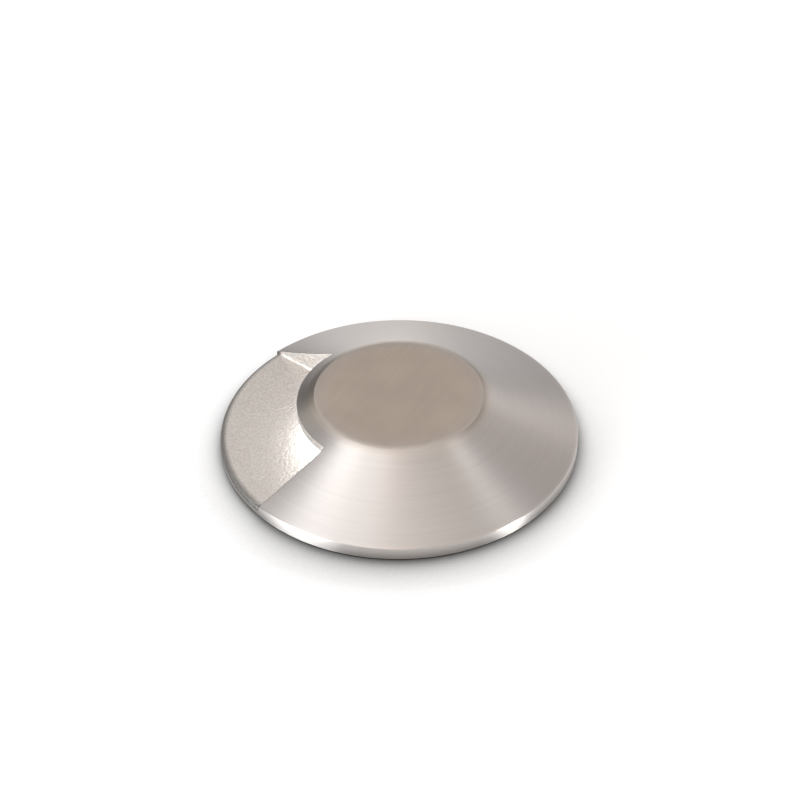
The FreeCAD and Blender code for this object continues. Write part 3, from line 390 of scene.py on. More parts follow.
@dataclass(frozen=True)
class TopSteel:
    """Stainless steel of the cover's flat top, brushed straight across."""

    name: str = "top_steel"
    # Painted reflection: the warm brown tint of the flat top stands in for the warm surroundings
    # above that it reflects.
    colour: Colour = (0.63, 0.542, 0.470)
    painted_edge_tint: Colour = (0.60, 0.545, 0.50)
    edge_start: float = 22.0 * MM
    edge_end: float = 29.0 * MM
    roughness: float = 0.53
    uneven: float = 0.14
    anisotropy: float = 0.35
    brush_angle: float = math.radians(151.5)
    stroke_stretch: float = 0.02
    stroke_pitch: float = 0.30 * MM
    stroke_depth: float = 0.006 * MM
    stroke_light: float = 0.24
    broad_turn: float = 0.06
    broad_stretch: float = 0.05
    broad_scale: float = 0.22
    broad_share: float = 0.45
    cloud_scale: float = 70.0
    cloud_light: float = 0.22

    def build(self) -> bpy.types.Material:
        """Make the material.

        Returns:
            The material, ready to assign.
        """
        shader = Shader(self.name)
        fine = shader.noise(shader.stretched((self.stroke_stretch, 1, 1), -self.brush_angle),
                            1 / self.stroke_pitch, 4.0)
        broad_turn = -self.brush_angle - self.broad_turn
        broad = shader.noise(shader.stretched((self.broad_stretch, 1, 1), broad_turn),
                             self.broad_scale / self.stroke_pitch, 3.0)
        strokes = shader.blend(self.broad_share, fine, broad)
        clouds = shader.noise(shader.place, self.cloud_scale, 5.0)
        light = shader.math("ADD", shader.stray(1.0, clouds, self.cloud_light),
                            shader.stray(0.0, strokes, self.stroke_light))
        edge_share = shader.ramp(shader.polar()[0], self.edge_start, self.edge_end)
        side = self.brush_angle + math.pi / 2
        return shader.metal(
            shader.shaded(shader.mix(edge_share, self.colour, self.painted_edge_tint), light),
            shader.stray(self.roughness, strokes, self.uneven),
            shader.bump(strokes, self.stroke_depth), Anisotropic=self.anisotropy,
            Tangent=shader.to_world((math.cos(side), math.sin(side), 0.0)))


@dataclass(frozen=True)
class CastSteel:
    """Blasted cast steel of the outlet: pale and grainy, with painted shade on its upright walls
    and on the floor's rounded outer edge.
    """

    name: str = "cast_steel"
    colour: Colour = (0.775, 0.745, 0.72)
    hollows: Colour = (0.645, 0.605, 0.57)
    # Painted shade: share of the colour left at the floor's rounded outer edge, reached from
    # edge_start to edge_end.
    edge_painted_shade: float = 0.30
    edge_start: float = 57.3 * MM
    edge_end: float = 59.7 * MM
    # Painted shade: share of the colour left on faces that stand upright, ramped by wall_slopes
    # over the normal's upward part.
    wall_painted_shade: float = 0.76
    wall_slopes: Point = (0.1, 0.7)
    roughness: float = 0.58
    uneven: float = 0.25
    grain_pitch: float = 0.9 * MM
    grain_depth: float = 0.30 * MM
    grain_edges: Point = (0.3, 0.7)
    grit_pitch: float = 0.34 * MM
    grit_depth: float = 0.13 * MM
    cloud_scale: float = 60.0
    cloud_share: float = 0.35

    def build(self) -> bpy.types.Material:
        """Make the material.

        Returns:
            The material, ready to assign.
        """
        shader = Shader(self.name)
        grains = shader.noise(shader.place, 1 / self.grain_pitch, 2.5)
        grit = shader.noise(shader.place, 1 / self.grit_pitch, 3.0)
        clouds = shader.noise(shader.place, self.cloud_scale, 3.0)
        share = shader.blend(self.cloud_share, shader.ramp(grains, *self.grain_edges), clouds)
        # Painted shade: the colour darkens towards the floor's rounded outer edge.
        painted_edge_light = shader.blend(shader.ramp(shader.polar()[0], self.edge_start, self.edge_end),
                                  1.0, self.edge_painted_shade)
        # Painted shade on the upright walls, by how far each face's normal points up.
        upward = shader.parts(shader.run("TexCoord", {}, "Normal"))[2]
        painted_wall_light = shader.blend(shader.ramp(upward, *self.wall_slopes), self.wall_painted_shade, 1.0)
        # Both painted shades, of the edge and of the walls, multiplied into the colour.
        light = shader.math("MULTIPLY", painted_edge_light, painted_wall_light)
        coarse = shader.bump(grains, self.grain_depth)
        return shader.metal(shader.shaded(shader.mix(share, self.hollows, self.colour), light),
                            shader.stray(self.roughness, grit, self.uneven),
                            shader.bump(grit, self.grit_depth, below=coarse))


@dataclass(frozen=True)
class RimSteel:
    """The cover's upright edge: turned lines round it, with painted shade that darkens it towards
    the ground.
    """

    name: str = "rim_steel"
    colour: Colour = (0.64, 0.615, 0.60)
    # Painted shade: the darker colour the rim takes towards the ground.
    foot_shade_colour: Colour = (0.35, 0.33, 0.315)
    roughness: float = 0.42
    uneven: float = 0.2
    anisotropy: float = 0.93
    line_pitch: float = 0.16 * MM
    line_breaks: float = 4.0
    line_depth: float = 0.006 * MM
    grit_share: float = 0.35
    height: float = 4.4 * MM

    def build(self) -> bpy.types.Material:
        """Make the material.

        Returns:
            The material, ready to assign.
        """
        shader = Shader(self.name)
        grit = shader.noise(shader.place, 1 / self.line_pitch, 3.0)
        marks = shader.blend(self.grit_share, shader.rings(self.line_pitch, self.line_breaks), grit)
        # Painted shade, full at the ground and gone at the rim's top, broken up by the marks.
        painted_foot_shade = shader.math("MULTIPLY", shader.ramp(shader.polar()[2], self.height, 0.0), marks)
        return shader.metal(
            shader.mix(painted_foot_shade, self.colour, self.foot_shade_colour),
            shader.stray(self.roughness, marks, self.uneven),
            shader.bump(marks, self.line_depth),
            Anisotropic=self.anisotropy, Tangent=shader.across_turning())


@dataclass(frozen=True)
class LitOpal:
    """White opal plastic, lit from inside."""

    name: str = "lit_opal"
    colour: Colour = (0.86, 0.86, 0.85)
    pale: Colour = (0.92, 0.92, 0.91)
    cloud_scale: float = 300.0
    roughness: float = 0.35
    grit_scale: float = 2500.0
    grit_depth: float = 0.01 * MM
    glow: float = 2.4
    glow_colour: Colour = (1.0, 0.99, 0.975)

    def build(self) -> bpy.types.Material:
        """Make the material.

        Returns:
            The material, ready to assign.
        """
        shader = Shader(self.name)
        clouds = shader.noise(shader.place, self.cloud_scale, 2.0)
        grit = shader.noise(shader.place, self.grit_scale, 2.0)
        return shader.close(shader.run("BsdfPrincipled", {
            "Base Color": shader.mix(clouds, self.colour, self.pale),
            "Roughness": self.roughness, "Emission Color": self.glow_colour,
            "Emission Strength": self.glow, "Normal": shader.bump(grit, self.grit_depth)}))


INNER_STEEL = Finish("inner_steel", (0.50, 0.48, 0.47), (0.42, 0.40, 0.39), metal=1.0,
                     roughness=0.45, sheen_run=0.6, grain=Grain.TURNED, pitch=0.35 * MM)
HOUSING_ALLOY = Finish("housing_alloy", (0.50, 0.51, 0.52), (0.475, 0.485, 0.495), metal=1.0,
                       roughness=0.42, sheen_run=0.5, grain=Grain.TURNED, pitch=0.3 * MM)
SPRING_STEEL = Finish("spring_steel", (0.58, 0.57, 0.55), (0.50, 0.48, 0.46), metal=1.0,
                      roughness=0.28, grain=Grain.STRAIGHT, pitch=0.25 * MM, depth=0.006 * MM)
SCREW_STEEL = Finish("screw_steel", (0.60, 0.60, 0.60), (0.50, 0.50, 0.50), metal=1.0,
                     roughness=0.25, pitch=0.2 * MM, depth=0.004 * MM)
MIRROR_ALLOY = Finish("mirror_alloy", (0.90, 0.90, 0.90), (0.86, 0.86, 0.86), metal=1.0,
                      roughness=0.08, sheen_run=0.3, grain=Grain.TURNED, depth=0.002 * MM)
NICKEL_BRASS = Finish("nickel_brass", (0.62, 0.59, 0.52), (0.52, 0.49, 0.43), metal=1.0,
                      roughness=0.22, sheen_run=0.4, grain=Grain.TURNED, pitch=0.25 * MM,
                      depth=0.006 * MM)
PIN_BRASS = Finish("pin_brass", (0.80, 0.62, 0.30), (0.66, 0.48, 0.22), metal=1.0,
                   roughness=0.25, pitch=0.15 * MM, depth=0.004 * MM)
BLACK_RUBBER = Finish("black_rubber", (0.018, 0.018, 0.019), (0.035, 0.034, 0.032),
                      roughness=0.68, pitch=0.25 * MM, gloss=0.35)
GREY_SILICONE = Finish("grey_silicone", (0.30, 0.31, 0.32), (0.24, 0.25, 0.26),
                       roughness=0.55, pitch=0.3 * MM, depth=0.015 * MM, gloss=0.4)
SLEEVE_PLASTIC = Finish("sleeve_plastic", (0.045, 0.046, 0.048), (0.075, 0.073, 0.069),
                        roughness=0.5, pitch=0.45 * MM, depth=0.03 * MM, gloss=0.45)
BOARD_WHITE = Finish("board_white", (0.80, 0.81, 0.79), (0.72, 0.73, 0.71), roughness=0.3,
                     pitch=0.3 * MM, depth=0.006 * MM)
CHIP_YELLOW = Finish("chip_yellow", (0.85, 0.66, 0.12), (0.78, 0.58, 0.10), roughness=0.35,
                     pitch=0.15 * MM, depth=0.008 * MM)
DRIVER_BLACK = Finish("driver_black", (0.022, 0.022, 0.024), (0.040, 0.040, 0.042),
                      roughness=0.38, pitch=0.5 * MM, depth=0.03 * MM)
BLOCK_GREY = Finish("block_grey", (0.34, 0.35, 0.36), (0.29, 0.30, 0.31), roughness=0.45,
                    pitch=0.3 * MM, depth=0.015 * MM)
BUSH_NYLON = Finish("bush_nylon", (0.74, 0.72, 0.66), (0.66, 0.64, 0.58), roughness=0.5,
                    pitch=0.3 * MM, depth=0.012 * MM)


def dress(finish: Finish | LitOpal, *nodes: str) -> None:
    """Give CAD nodes a finish.

    Args:
        finish: What they are made of.
        *nodes: The nodes' names.
    """
    material = finish.build()
    for name in nodes:
        slots = bpy.data.objects[name].data.materials
        slots.clear()
        slots.append(material)
    LOG.info("dressed %s in %s", ", ".join(nodes), finish.name)


# ---------------------------------------------------------------- work on a mesh


def open_edges(piece: bpy.types.Object) -> set[int]:
    """Return the indices of a mesh's edges that have fewer than two faces."""
    uses = Counter(key for face in piece.data.polygons for key in face.edge_keys)
    return {edge.index for edge in piece.data.edges if uses[edge.key] < 2}


def edge_ends(piece: bpy.types.Object, edge: bpy.types.MeshEdge) -> tuple[Vector, Vector]:
    """Return the places of an edge's two ends."""
    first, second = edge.vertices
    return piece.data.vertices[first].co, piece.data.vertices[second].co


def edge_span(piece: bpy.types.Object, edge: bpy.types.MeshEdge) -> float:
    """Return how far an edge strays from one ring, outward or upward."""
    first, second = edge_ends(piece, edge)
    return max(abs(first.xy.length - second.xy.length), abs(first.z - second.z))


def select_only(piece: bpy.types.Object, kind: str,
                wanted: Callable[[Vector, Element], bool]) -> int:
    """Select a piece's edges or faces by place, and go into edit mode.

    Args:
        piece: The piece being modelled.
        kind: "EDGE" or "FACE".
        wanted: Says from an element's middle and the element itself whether it is selected.

    Returns:
        How many are selected.
    """
    bpy.ops.object.mode_set(mode="EDIT")
    bpy.ops.mesh.select_mode(type=kind)
    bpy.ops.mesh.select_all(action="DESELECT")
    bpy.ops.object.mode_set(mode="OBJECT")
    if kind == "EDGE":
        middles = [(sum(edge_ends(piece, edge), Vector()) / 2, edge) for edge in piece.data.edges]
    else:
        middles = [(face.center, face) for face in piece.data.polygons]
    chosen = [element for middle, element in middles if wanted(middle, element)]
    for element in chosen:
        element.select = True
    bpy.ops.object.mode_set(mode="EDIT")
    return len(chosen)


def only_active(piece: bpy.types.Object) -> None:
    """Make a piece the only selected object, and the active one."""
    bpy.ops.object.select_all(action="DESELECT")
    piece.select_set(True)
    bpy.context.view_layer.objects.active = piece


def apply_modifier(piece: bpy.types.Object, kind: str, **settings: object) -> None:
    """Add a modifier to a piece and apply it.

    Args:
        piece: The piece.
        kind: The modifier's type.
        **settings: Its settings.
    """
    only_active(piece)
    modifier = piece.modifiers.new(kind.lower(), kind)
    for name, value in settings.items():
        setattr(modifier, name, value)
    bpy.ops.object.modifier_apply(modifier=modifier.name)


def extrude_rings(points: list[Point]) -> None:
    """Draw the selected ring of edges out through the points of a profile.

    Args:
        points: Distances from the Z axis and heights, from the selected ring on.
    """
    for (last_radius, last_height), (radius, height) in zip(points, points[1:]):
        bpy.ops.mesh.extrude_edges_move(
            TRANSFORM_OT_translate={"value": (0.0, 0.0, height - last_height)})
        ratio = radius / last_radius
        bpy.ops.transform.resize(value=(ratio, ratio, 1.0), center_override=(0, 0, height))


# ---------------------------------------------------------------- the light


class CoverSlot(IntEnum):
    """The cover's material slots, in the order of its finishes."""

    SLOPE = 0
    TOP = 1
    RIM = 2
    CAST = 3
    INNER = 4


@dataclass
class Cover:
    """The domed steel cover with its gasket and grub screws.

    It is modelled round the axis first, with straight radial outlet sides, and its
    columns are then slid until the sides lie on planes that meet behind the axis.
    A point of the profile is a distance from the axis and a height.
    """

    columns: int = 288
    side_column: int = 36
    radius: float = 60.0 * MM
    height: float = 19.4 * MM
    rim_round: float = 0.7 * MM
    rim_round_middle: Point = (59.3 * MM, 3.919 * MM)
    rim_round_end: float = math.radians(69.0)
    rim_steps: int = 4
    slope_radius: float = 220.0 * MM
    slope_middle: Point = (138.834 * MM, 209.790 * MM)
    slope_steps: int = 21
    near_top_steps: int = 3
    top_round: float = 8.5 * MM
    top_round_middle: Point = (26.34 * MM, 10.9 * MM)
    top_round_start: float = math.radians(60.5)
    top_round_steps: int = 9
    top_rings: tuple[float, ...] = (24 * MM, 20 * MM, 15 * MM, 10 * MM, 5 * MM)
    roof_rings: tuple[float, ...] = (12 * MM, 24 * MM)
    axis_hole: float = 2.0 * MM
    lip_radius: float = 34.1 * MM
    pocket_radius: float = 34.4 * MM
    pocket_top: float = 13.6 * MM
    sill_radius: float = 33.65 * MM
    floor_height: float = 3.8 * MM
    floor_round: float = 1.8 * MM
    floor_gap: float = 0.5 * MM
    collar_inner: float = 42.3 * MM
    collar_outer: float = 46.0 * MM
    collar_depth: float = 12.0 * MM
    collar_margin: float = 1.0 * MM
    groove_inner: float = 52.9 * MM
    groove_outer: float = 56.6 * MM
    groove_depth: float = 1.5 * MM
    foot_break: float = 0.3 * MM
    apex_back: float = 8.9 * MM
    side_angle: float = math.radians(37.5)
    slide_start: float = 20.0 * MM
    slide_fade: float = math.radians(75.0)
    wall_cuts: int = 5
    lip_cuts: int = 2
    cast_cuts: int = 2
    edge_break: float = 0.2 * MM
    break_segments: int = 2
    support: float = 0.45 * MM
    wall_foot: float = 0.8 * MM
    wall_foot_share: float = 0.3
    foot_rise: float = 3.0
    relief: float = 0.20 * MM
    relief_pitch: float = 1.1 * MM
    relief_fade: float = 1.0 * MM
    relief_at_round: float = 0.6
    top_finish_radius: float = 28.4 * MM
    grub_hole: float = 2.0 * MM
    grub_height: float = -8.0 * MM
    grub_sides: int = 32
    grub_reach: float = 8.0 * MM
    grub_count: int = 3
    smooth_angle: float = math.radians(40.0)
    closeness: float = 0.01 * MM
    turn_closeness: float = 0.001
    facing_up: float = 0.05
    upright: float = 0.3
    level: float = 0.5

    @property
    def half_column(self) -> float:
        """Angle from the outlet's middle to its side before the slide."""
        return self.side_column * FULL_TURN / self.columns

    @property
    def round_start(self) -> float:
        """Distance from the axis at which the floor starts to round down."""
        return self.radius - self.floor_round

    @property
    def round_foot(self) -> float:
        """Height at which the floor's round meets the rim."""
        return self.floor_height - self.floor_round

    def slope_height(self, reach: float) -> float:
        """Return the height of the hollow slope at a distance from the axis."""
        middle_reach, middle_height = self.slope_middle
        return middle_height - math.sqrt(self.slope_radius ** 2 - (middle_reach - reach) ** 2)

    def slope_radii(self) -> list[float]:
        """Return the slope's rings from the rim's round in to the lip."""
        start = self.rim_round_middle[0] + self.rim_round * math.cos(self.rim_round_end)
        step = (start - self.lip_radius) / self.slope_steps
        return [start - step * count for count in range(self.slope_steps + 1)]

    def floor_at(self, reach: float) -> float:
        """Return the outlet floor's height at a distance from the axis."""
        out = min(max(reach - self.round_start, 0.0), self.floor_round)
        return self.round_foot + math.sqrt(self.floor_round ** 2 - out ** 2)

    def arc(self, middle: Point, radius: float, start: float, end: float,
            steps: int) -> list[Point]:
        """Return points along an arc of the profile.

        Args:
            middle: Its middle.
            radius: Its radius.
            start: Its first angle above the level.
            end: Its last angle.
            steps: How many parts it has.

        Returns:
            Points of the profile.
        """
        angles = [start + (end - start) * count / steps for count in range(steps + 1)]
        return [(middle[0] + radius * math.cos(angle), middle[1] + radius * math.sin(angle))
                for angle in angles]

    def profile(self) -> list[Point]:
        """Draw the cover's outline from under the roof, round the rim, to the top.

        Returns:
            Points of the profile.
        """
        roof = [(reach, self.pocket_top) for reach in (
            self.axis_hole, *self.roof_rings, self.lip_radius, self.pocket_radius)]
        below = [
            (self.pocket_radius, self.floor_height), (self.pocket_radius, 0.0),
            (self.collar_inner, 0.0), (self.collar_inner, -self.collar_depth),
            (self.collar_outer, -self.collar_depth), (self.collar_outer, 0.0),
            (self.groove_inner, 0.0), (self.groove_inner, self.groove_depth),
            (self.groove_outer, self.groove_depth), (self.groove_outer, 0.0),
            (self.radius - self.foot_break, 0.0), (self.radius, self.foot_break),
            (self.radius, self.round_foot),
        ]
        rim = self.arc(self.rim_round_middle, self.rim_round, 0.0, self.rim_round_end,
                       self.rim_steps)
        fillet = self.arc(self.top_round_middle, self.top_round, self.top_round_start,
                          math.pi / 2, self.top_round_steps)
        top = [(reach, self.height) for reach in (*self.top_rings, self.axis_hole)]
        inside_lip = self.lip_radius - self.support
        gap = (inside_lip - fillet[0][0]) / self.near_top_steps
        reaches = self.slope_radii()[1:] + [
            inside_lip - gap * count for count in range(self.near_top_steps)]
        slope = [(reach, self.slope_height(reach)) for reach in reaches]
        return roof + below + rim + slope + fillet + top

    def turn_blank(self) -> bpy.types.Object:
        """Draw the outline out ring by ring from a circle.

        Returns:
            The closed blank.
        """
        rings = self.profile()
        bpy.ops.object.select_all(action="DESELECT")
        bpy.ops.mesh.primitive_circle_add(
            vertices=self.columns, radius=rings[0][0], location=(0, 0, rings[0][1]))
        piece = bpy.context.object
        piece.name = "cover_casting"
        bpy.ops.object.transform_apply(location=True, rotation=True, scale=True)
        bpy.ops.object.mode_set(mode="EDIT")
        bpy.ops.mesh.select_all(action="SELECT")
        extrude_rings(rings)
        bpy.ops.mesh.extrude_edges_move()
        bpy.ops.mesh.merge(type="CENTER")
        near_axis = self.axis_hole + self.closeness
        select_only(piece, "EDGE", lambda middle, edge: middle.xy.length < near_axis
                    and middle.z < self.pocket_top + self.closeness
                    and edge_span(piece, edge) < self.closeness)
        bpy.ops.mesh.extrude_edges_move()
        bpy.ops.mesh.merge(type="CENTER")
        bpy.ops.mesh.select_all(action="SELECT")
        bpy.ops.mesh.normals_make_consistent(inside=False)
        bpy.ops.object.mode_set(mode="OBJECT")
        return piece

    def drill_grub_holes(self, piece: bpy.types.Object) -> None:
        """Drill the holes for the grub screws through the collar.

        Args:
            piece: The closed blank.
        """
        bpy.ops.object.select_all(action="DESELECT")
        middle = (self.collar_inner + self.collar_outer) / 2
        bpy.ops.mesh.primitive_cylinder_add(
            vertices=self.grub_sides, radius=self.grub_hole, depth=self.grub_reach,
            location=(middle, 0, self.grub_height), rotation=(0, math.pi / 2, 0))
        drill = bpy.context.object
        bpy.ops.object.transform_apply(location=True, rotation=True, scale=True)
        bpy.ops.object.mode_set(mode="EDIT")
        bpy.ops.mesh.select_all(action="SELECT")
        for _ in range(self.grub_count - 1):
            bpy.ops.mesh.duplicate()
            bpy.ops.transform.rotate(value=-FULL_TURN / self.grub_count, orient_axis="Z",
                                     center_override=(0, 0, self.grub_height))
        bpy.ops.object.mode_set(mode="OBJECT")
        apply_modifier(piece, "BOOLEAN", object=drill, operation="DIFFERENCE", solver="EXACT")
        bpy.data.objects.remove(drill, do_unlink=True)

    def off_outlet(self, point: Vector) -> float:
        """Return the angle round the axis from the outlet's middle, which is at -Y."""
        return math.atan2(point.x, -point.y)

    def in_outlet(self, point: Vector) -> bool:
        """Say whether a point is in the outlet's sector before the slide."""
        return abs(self.off_outlet(point)) < self.half_column - self.turn_closeness

    def select_outlet_ring(self, piece: bpy.types.Object, reach: float, *heights: float) -> None:
        """Select the outlet's ring edges at a distance from the axis and at some heights.

        Args:
            piece: The cover before the slide.
            reach: The distance from the axis.
            *heights: The heights.
        """
        near = self.closeness
        select_only(piece, "EDGE", lambda middle, edge: self.in_outlet(middle)
                    and edge_span(piece, edge) < near
                    and abs(middle.xy.length - reach) < 3 * near
                    and any(abs(middle.z - height) < near for height in heights))

    def open_outlet(self, piece: bpy.types.Object) -> None:
        """Cut the outlet's sector out, and give it a lip, a floor and two side walls.

        Args:
            piece: The closed blank.
        """
        near = self.closeness

        def cut_away(middle: Vector, face: bpy.types.MeshPolygon) -> bool:
            """Say whether a face is in the way of the light."""
            reach = middle.xy.length
            outside = reach > self.lip_radius and middle.z > self.round_foot and (
                face.normal.z > self.facing_up or reach > self.radius - self.rim_round)
            window = abs(reach - self.pocket_radius) < 20 * near and (
                middle.z > self.floor_height) and abs(face.normal.z) < self.upright
            ceiling = self.lip_radius < reach < self.pocket_radius and (
                abs(middle.z - self.pocket_top) < near)
            return self.in_outlet(middle) and (outside or window or ceiling)

        select_only(piece, "FACE", cut_away)
        bpy.ops.mesh.delete(type="FACE")
        self.select_outlet_ring(piece, self.lip_radius, self.slope_height(self.lip_radius),
                                self.pocket_top)
        bpy.ops.mesh.bridge_edge_loops(number_cuts=self.lip_cuts)
        self.select_outlet_ring(piece, self.pocket_radius, self.floor_height)
        extrude_rings([(self.pocket_radius, self.floor_height), *self.floor_line()])
        bpy.ops.mesh.select_all(action="SELECT")
        bpy.ops.mesh.remove_doubles(threshold=near / 2)
        self.raise_walls(piece)
        bpy.ops.mesh.select_all(action="SELECT")
        bpy.ops.mesh.normals_make_consistent(inside=False)
        bpy.ops.object.mode_set(mode="OBJECT")

    def floor_line(self) -> list[Point]:
        """Draw the floor's profile from the window out to the rim.

        Returns:
            As many points as the slope and the rim's round have, to be bridged to them.
        """
        rings = self.slope_radii()[:-1]
        inner = [reach for reach in reversed(rings) if reach < self.round_start - self.floor_gap]
        round_steps = len(rings) + self.rim_steps - len(inner)
        return [(reach, self.floor_height) for reach in inner] + self.arc(
            (self.round_start, self.round_foot), self.floor_round, math.pi / 2, 0.0, round_steps)

    def raise_walls(self, piece: bpy.types.Object) -> None:
        """Bridge the floor's sides to the slope's sides, and close what stays open.

        Args:
            piece: The cover with its floor drawn.
        """
        near = self.closeness
        for side in (-1, 1):
            bpy.ops.object.mode_set(mode="OBJECT")
            open_ones = open_edges(piece)

            def on_side(middle: Vector, edge: bpy.types.MeshEdge, side: int = side) -> bool:
                """Say whether an edge is the foot or the top of this side's wall."""
                first, second = edge_ends(piece, edge)
                return (edge.index in open_ones
                        and abs(self.off_outlet(middle) - side * self.half_column)
                        < self.turn_closeness
                        and abs(first.xy.length - second.xy.length) > near
                        and abs(middle.z - self.pocket_top) > near
                        and min(first.z, second.z) > self.round_foot + near)
            LOG.info("side wall: %s edges to bridge", select_only(piece, "EDGE", on_side))
            bpy.ops.mesh.bridge_edge_loops(number_cuts=self.wall_cuts, interpolation="LINEAR")
        bpy.ops.mesh.select_mode(type="EDGE")
        bpy.ops.mesh.select_all(action="DESELECT")
        bpy.ops.mesh.select_non_manifold(extend=False)
        bpy.ops.mesh.fill_holes(sides=0)

    def side_at(self, reach: float) -> float:
        """Find where the outlet's side is.

        Args:
            reach: Distance from the axis.

        Returns:
            The angle from the outlet's middle to its side.
        """
        at_lip = max(reach, self.lip_radius)
        side = self.side_angle + math.asin(self.apex_back * math.sin(self.side_angle) / at_lip)
        slid = (reach - self.slide_start) / (self.lip_radius - self.slide_start)
        share = min(1.0, max(0.0, slid))
        return self.half_column + share * (side - self.half_column)

    def slide_columns(self, piece: bpy.types.Object) -> None:
        """Slide the columns round until the outlet's sides lie on their planes.

        The floor's sill is drawn in over the gap round the lens cup on the way.

        Args:
            piece: The cover with its outlet.
        """
        near, half = self.closeness, self.half_column
        column = FULL_TURN / self.columns
        for vertex in piece.data.vertices:
            reach = vertex.co.xy.length
            on_collar = vertex.co.z < near and (
                self.collar_inner - self.collar_margin < reach
                < self.collar_outer + self.collar_margin)
            off = self.off_outlet(vertex.co)
            if reach < near or on_collar or abs(off) >= self.slide_fade:
                continue
            if (self.in_outlet(vertex.co) and abs(reach - self.pocket_radius) < near
                    and abs(vertex.co.z - self.floor_height) < near):
                reach = self.sill_radius
            side = self.side_at(reach)
            beside = side + (self.support / reach if reach > self.lip_radius else column)
            if abs(off) <= half:
                turned = abs(off) * side / half
            elif abs(off) <= half + column:
                turned = side + (abs(off) - half) / column * (beside - side)
            else:
                share = (abs(off) - half - column) / (self.slide_fade - half - column)
                turned = beside + share * (self.slide_fade - beside)
            turned = math.copysign(turned, off)
            vertex.co.x, vertex.co.y = reach * math.sin(turned), -reach * math.cos(turned)

    def off_side(self, point: Vector) -> float:
        """Return how far a point is inside the outlet's side, in metres."""
        reach = point.xy.length
        return reach * (self.side_at(reach) - abs(self.off_outlet(point)))

    def break_edges(self, piece: bpy.types.Object) -> None:
        """Round the sharp edges along the outlet's top and lip.

        Args:
            piece: The cover with its outlet.
        """
        near = self.closeness
        round_reach, round_height = self.rim_round_middle

        def sharp_top(middle: Vector, edge: bpy.types.MeshEdge) -> bool:
            """Say whether an edge is on the slope's cut or at the lip's top."""
            ends = edge_ends(piece, edge)
            on_slope = all(abs(end.z - self.slope_height(end.xy.length)) < near for end in ends)
            across = edge_span(piece, edge) > near
            beside = abs(self.off_side(middle)) < near and middle.xy.length > self.lip_radius
            at_lip = (abs(middle.xy.length - self.lip_radius) < 3 * near and on_slope
                      and not across and self.off_side(middle) > 0)
            down_rim = all(end.xy.length > round_reach and end.z >= round_height - near
                           for end in ends)
            return at_lip or beside and (on_slope and across or down_rim)

        LOG.info("edges to round: %s", select_only(piece, "EDGE", sharp_top))
        bpy.ops.mesh.bevel(offset=self.edge_break, segments=self.break_segments,
                           affect="EDGES", clamp_overlap=False, loop_slide=False)
        bpy.ops.object.mode_set(mode="OBJECT")

    def to_roughen(self, middle: Vector, face: bpy.types.MeshPolygon) -> bool:
        """Say whether a face is divided for the relief of the cast.

        Args:
            middle: The face's middle.
            face: The face.

        Returns:
            Whether it is on the outlet's floor, on a wall or on the lip.
        """
        near, reach, inside = self.closeness, middle.xy.length, self.off_side(middle)
        if (middle.z < self.round_foot or reach < self.lip_radius - near or inside < -3 * near
                or middle.z >= self.slope_height(reach) - 0.3 * self.edge_break):
            return False
        upright = abs(face.normal.z) < self.upright
        wall = inside < 20 * near and reach > self.lip_radius
        lip = abs(reach - self.lip_radius) < 10 * near
        floor = (inside > near and middle.z < self.floor_height + near
                 and face.normal.z > self.facing_up)
        return upright and (wall or lip) or floor

    def roughen_cast(self, piece: bpy.types.Object) -> None:
        """Give the cast floor and walls a soft foot and a low relief.

        Args:
            piece: The cover with its outlet.
        """
        select_only(piece, "FACE", self.to_roughen)
        bpy.ops.mesh.subdivide(number_cuts=self.cast_cuts)
        bpy.ops.object.mode_set(mode="OBJECT")
        group = piece.vertex_groups.new(name="cast")
        near = self.closeness
        for vertex in piece.data.vertices:
            reach, inside = vertex.co.xy.length, self.off_side(vertex.co)
            low = self.floor_at(reach)
            above = vertex.co.z - low
            room = self.slope_height(min(reach, self.round_start)) - low
            if (reach < self.lip_radius - near or inside < -3 * near
                    or not -near <= above <= room + near):
                continue
            foot = min(self.wall_foot, self.wall_foot_share * (self.slope_height(reach) - low))
            on_wall = inside < 2 * near
            if on_wall and above < self.foot_rise * foot:
                vertex.co.z += foot - above / self.foot_rise
            elif not on_wall and above < near and inside < foot:
                vertex.co.z += foot - math.sqrt(foot ** 2 - (foot - inside) ** 2)
            elif not on_wall and above > near:
                continue
            from_sill = (reach - self.pocket_radius - near) / self.relief_fade
            to_round = (self.round_start - reach) / self.relief_fade + self.relief_at_round
            shares = [from_sill, to_round]
            if on_wall:
                shares.append((room - above - self.edge_break) / self.relief_fade)
            if min(shares) > 0:
                group.add([vertex.index], min(1.0, *shares), "REPLACE")
        grain = bpy.data.textures.new("cast_grain", "CLOUDS")
        grain.noise_scale = self.relief_pitch
        grain.noise_depth = 1
        apply_modifier(piece, "DISPLACE", texture=grain, texture_coords="LOCAL",
                       strength=self.relief, mid_level=0.5, vertex_group="cast")
        piece.vertex_groups.clear()

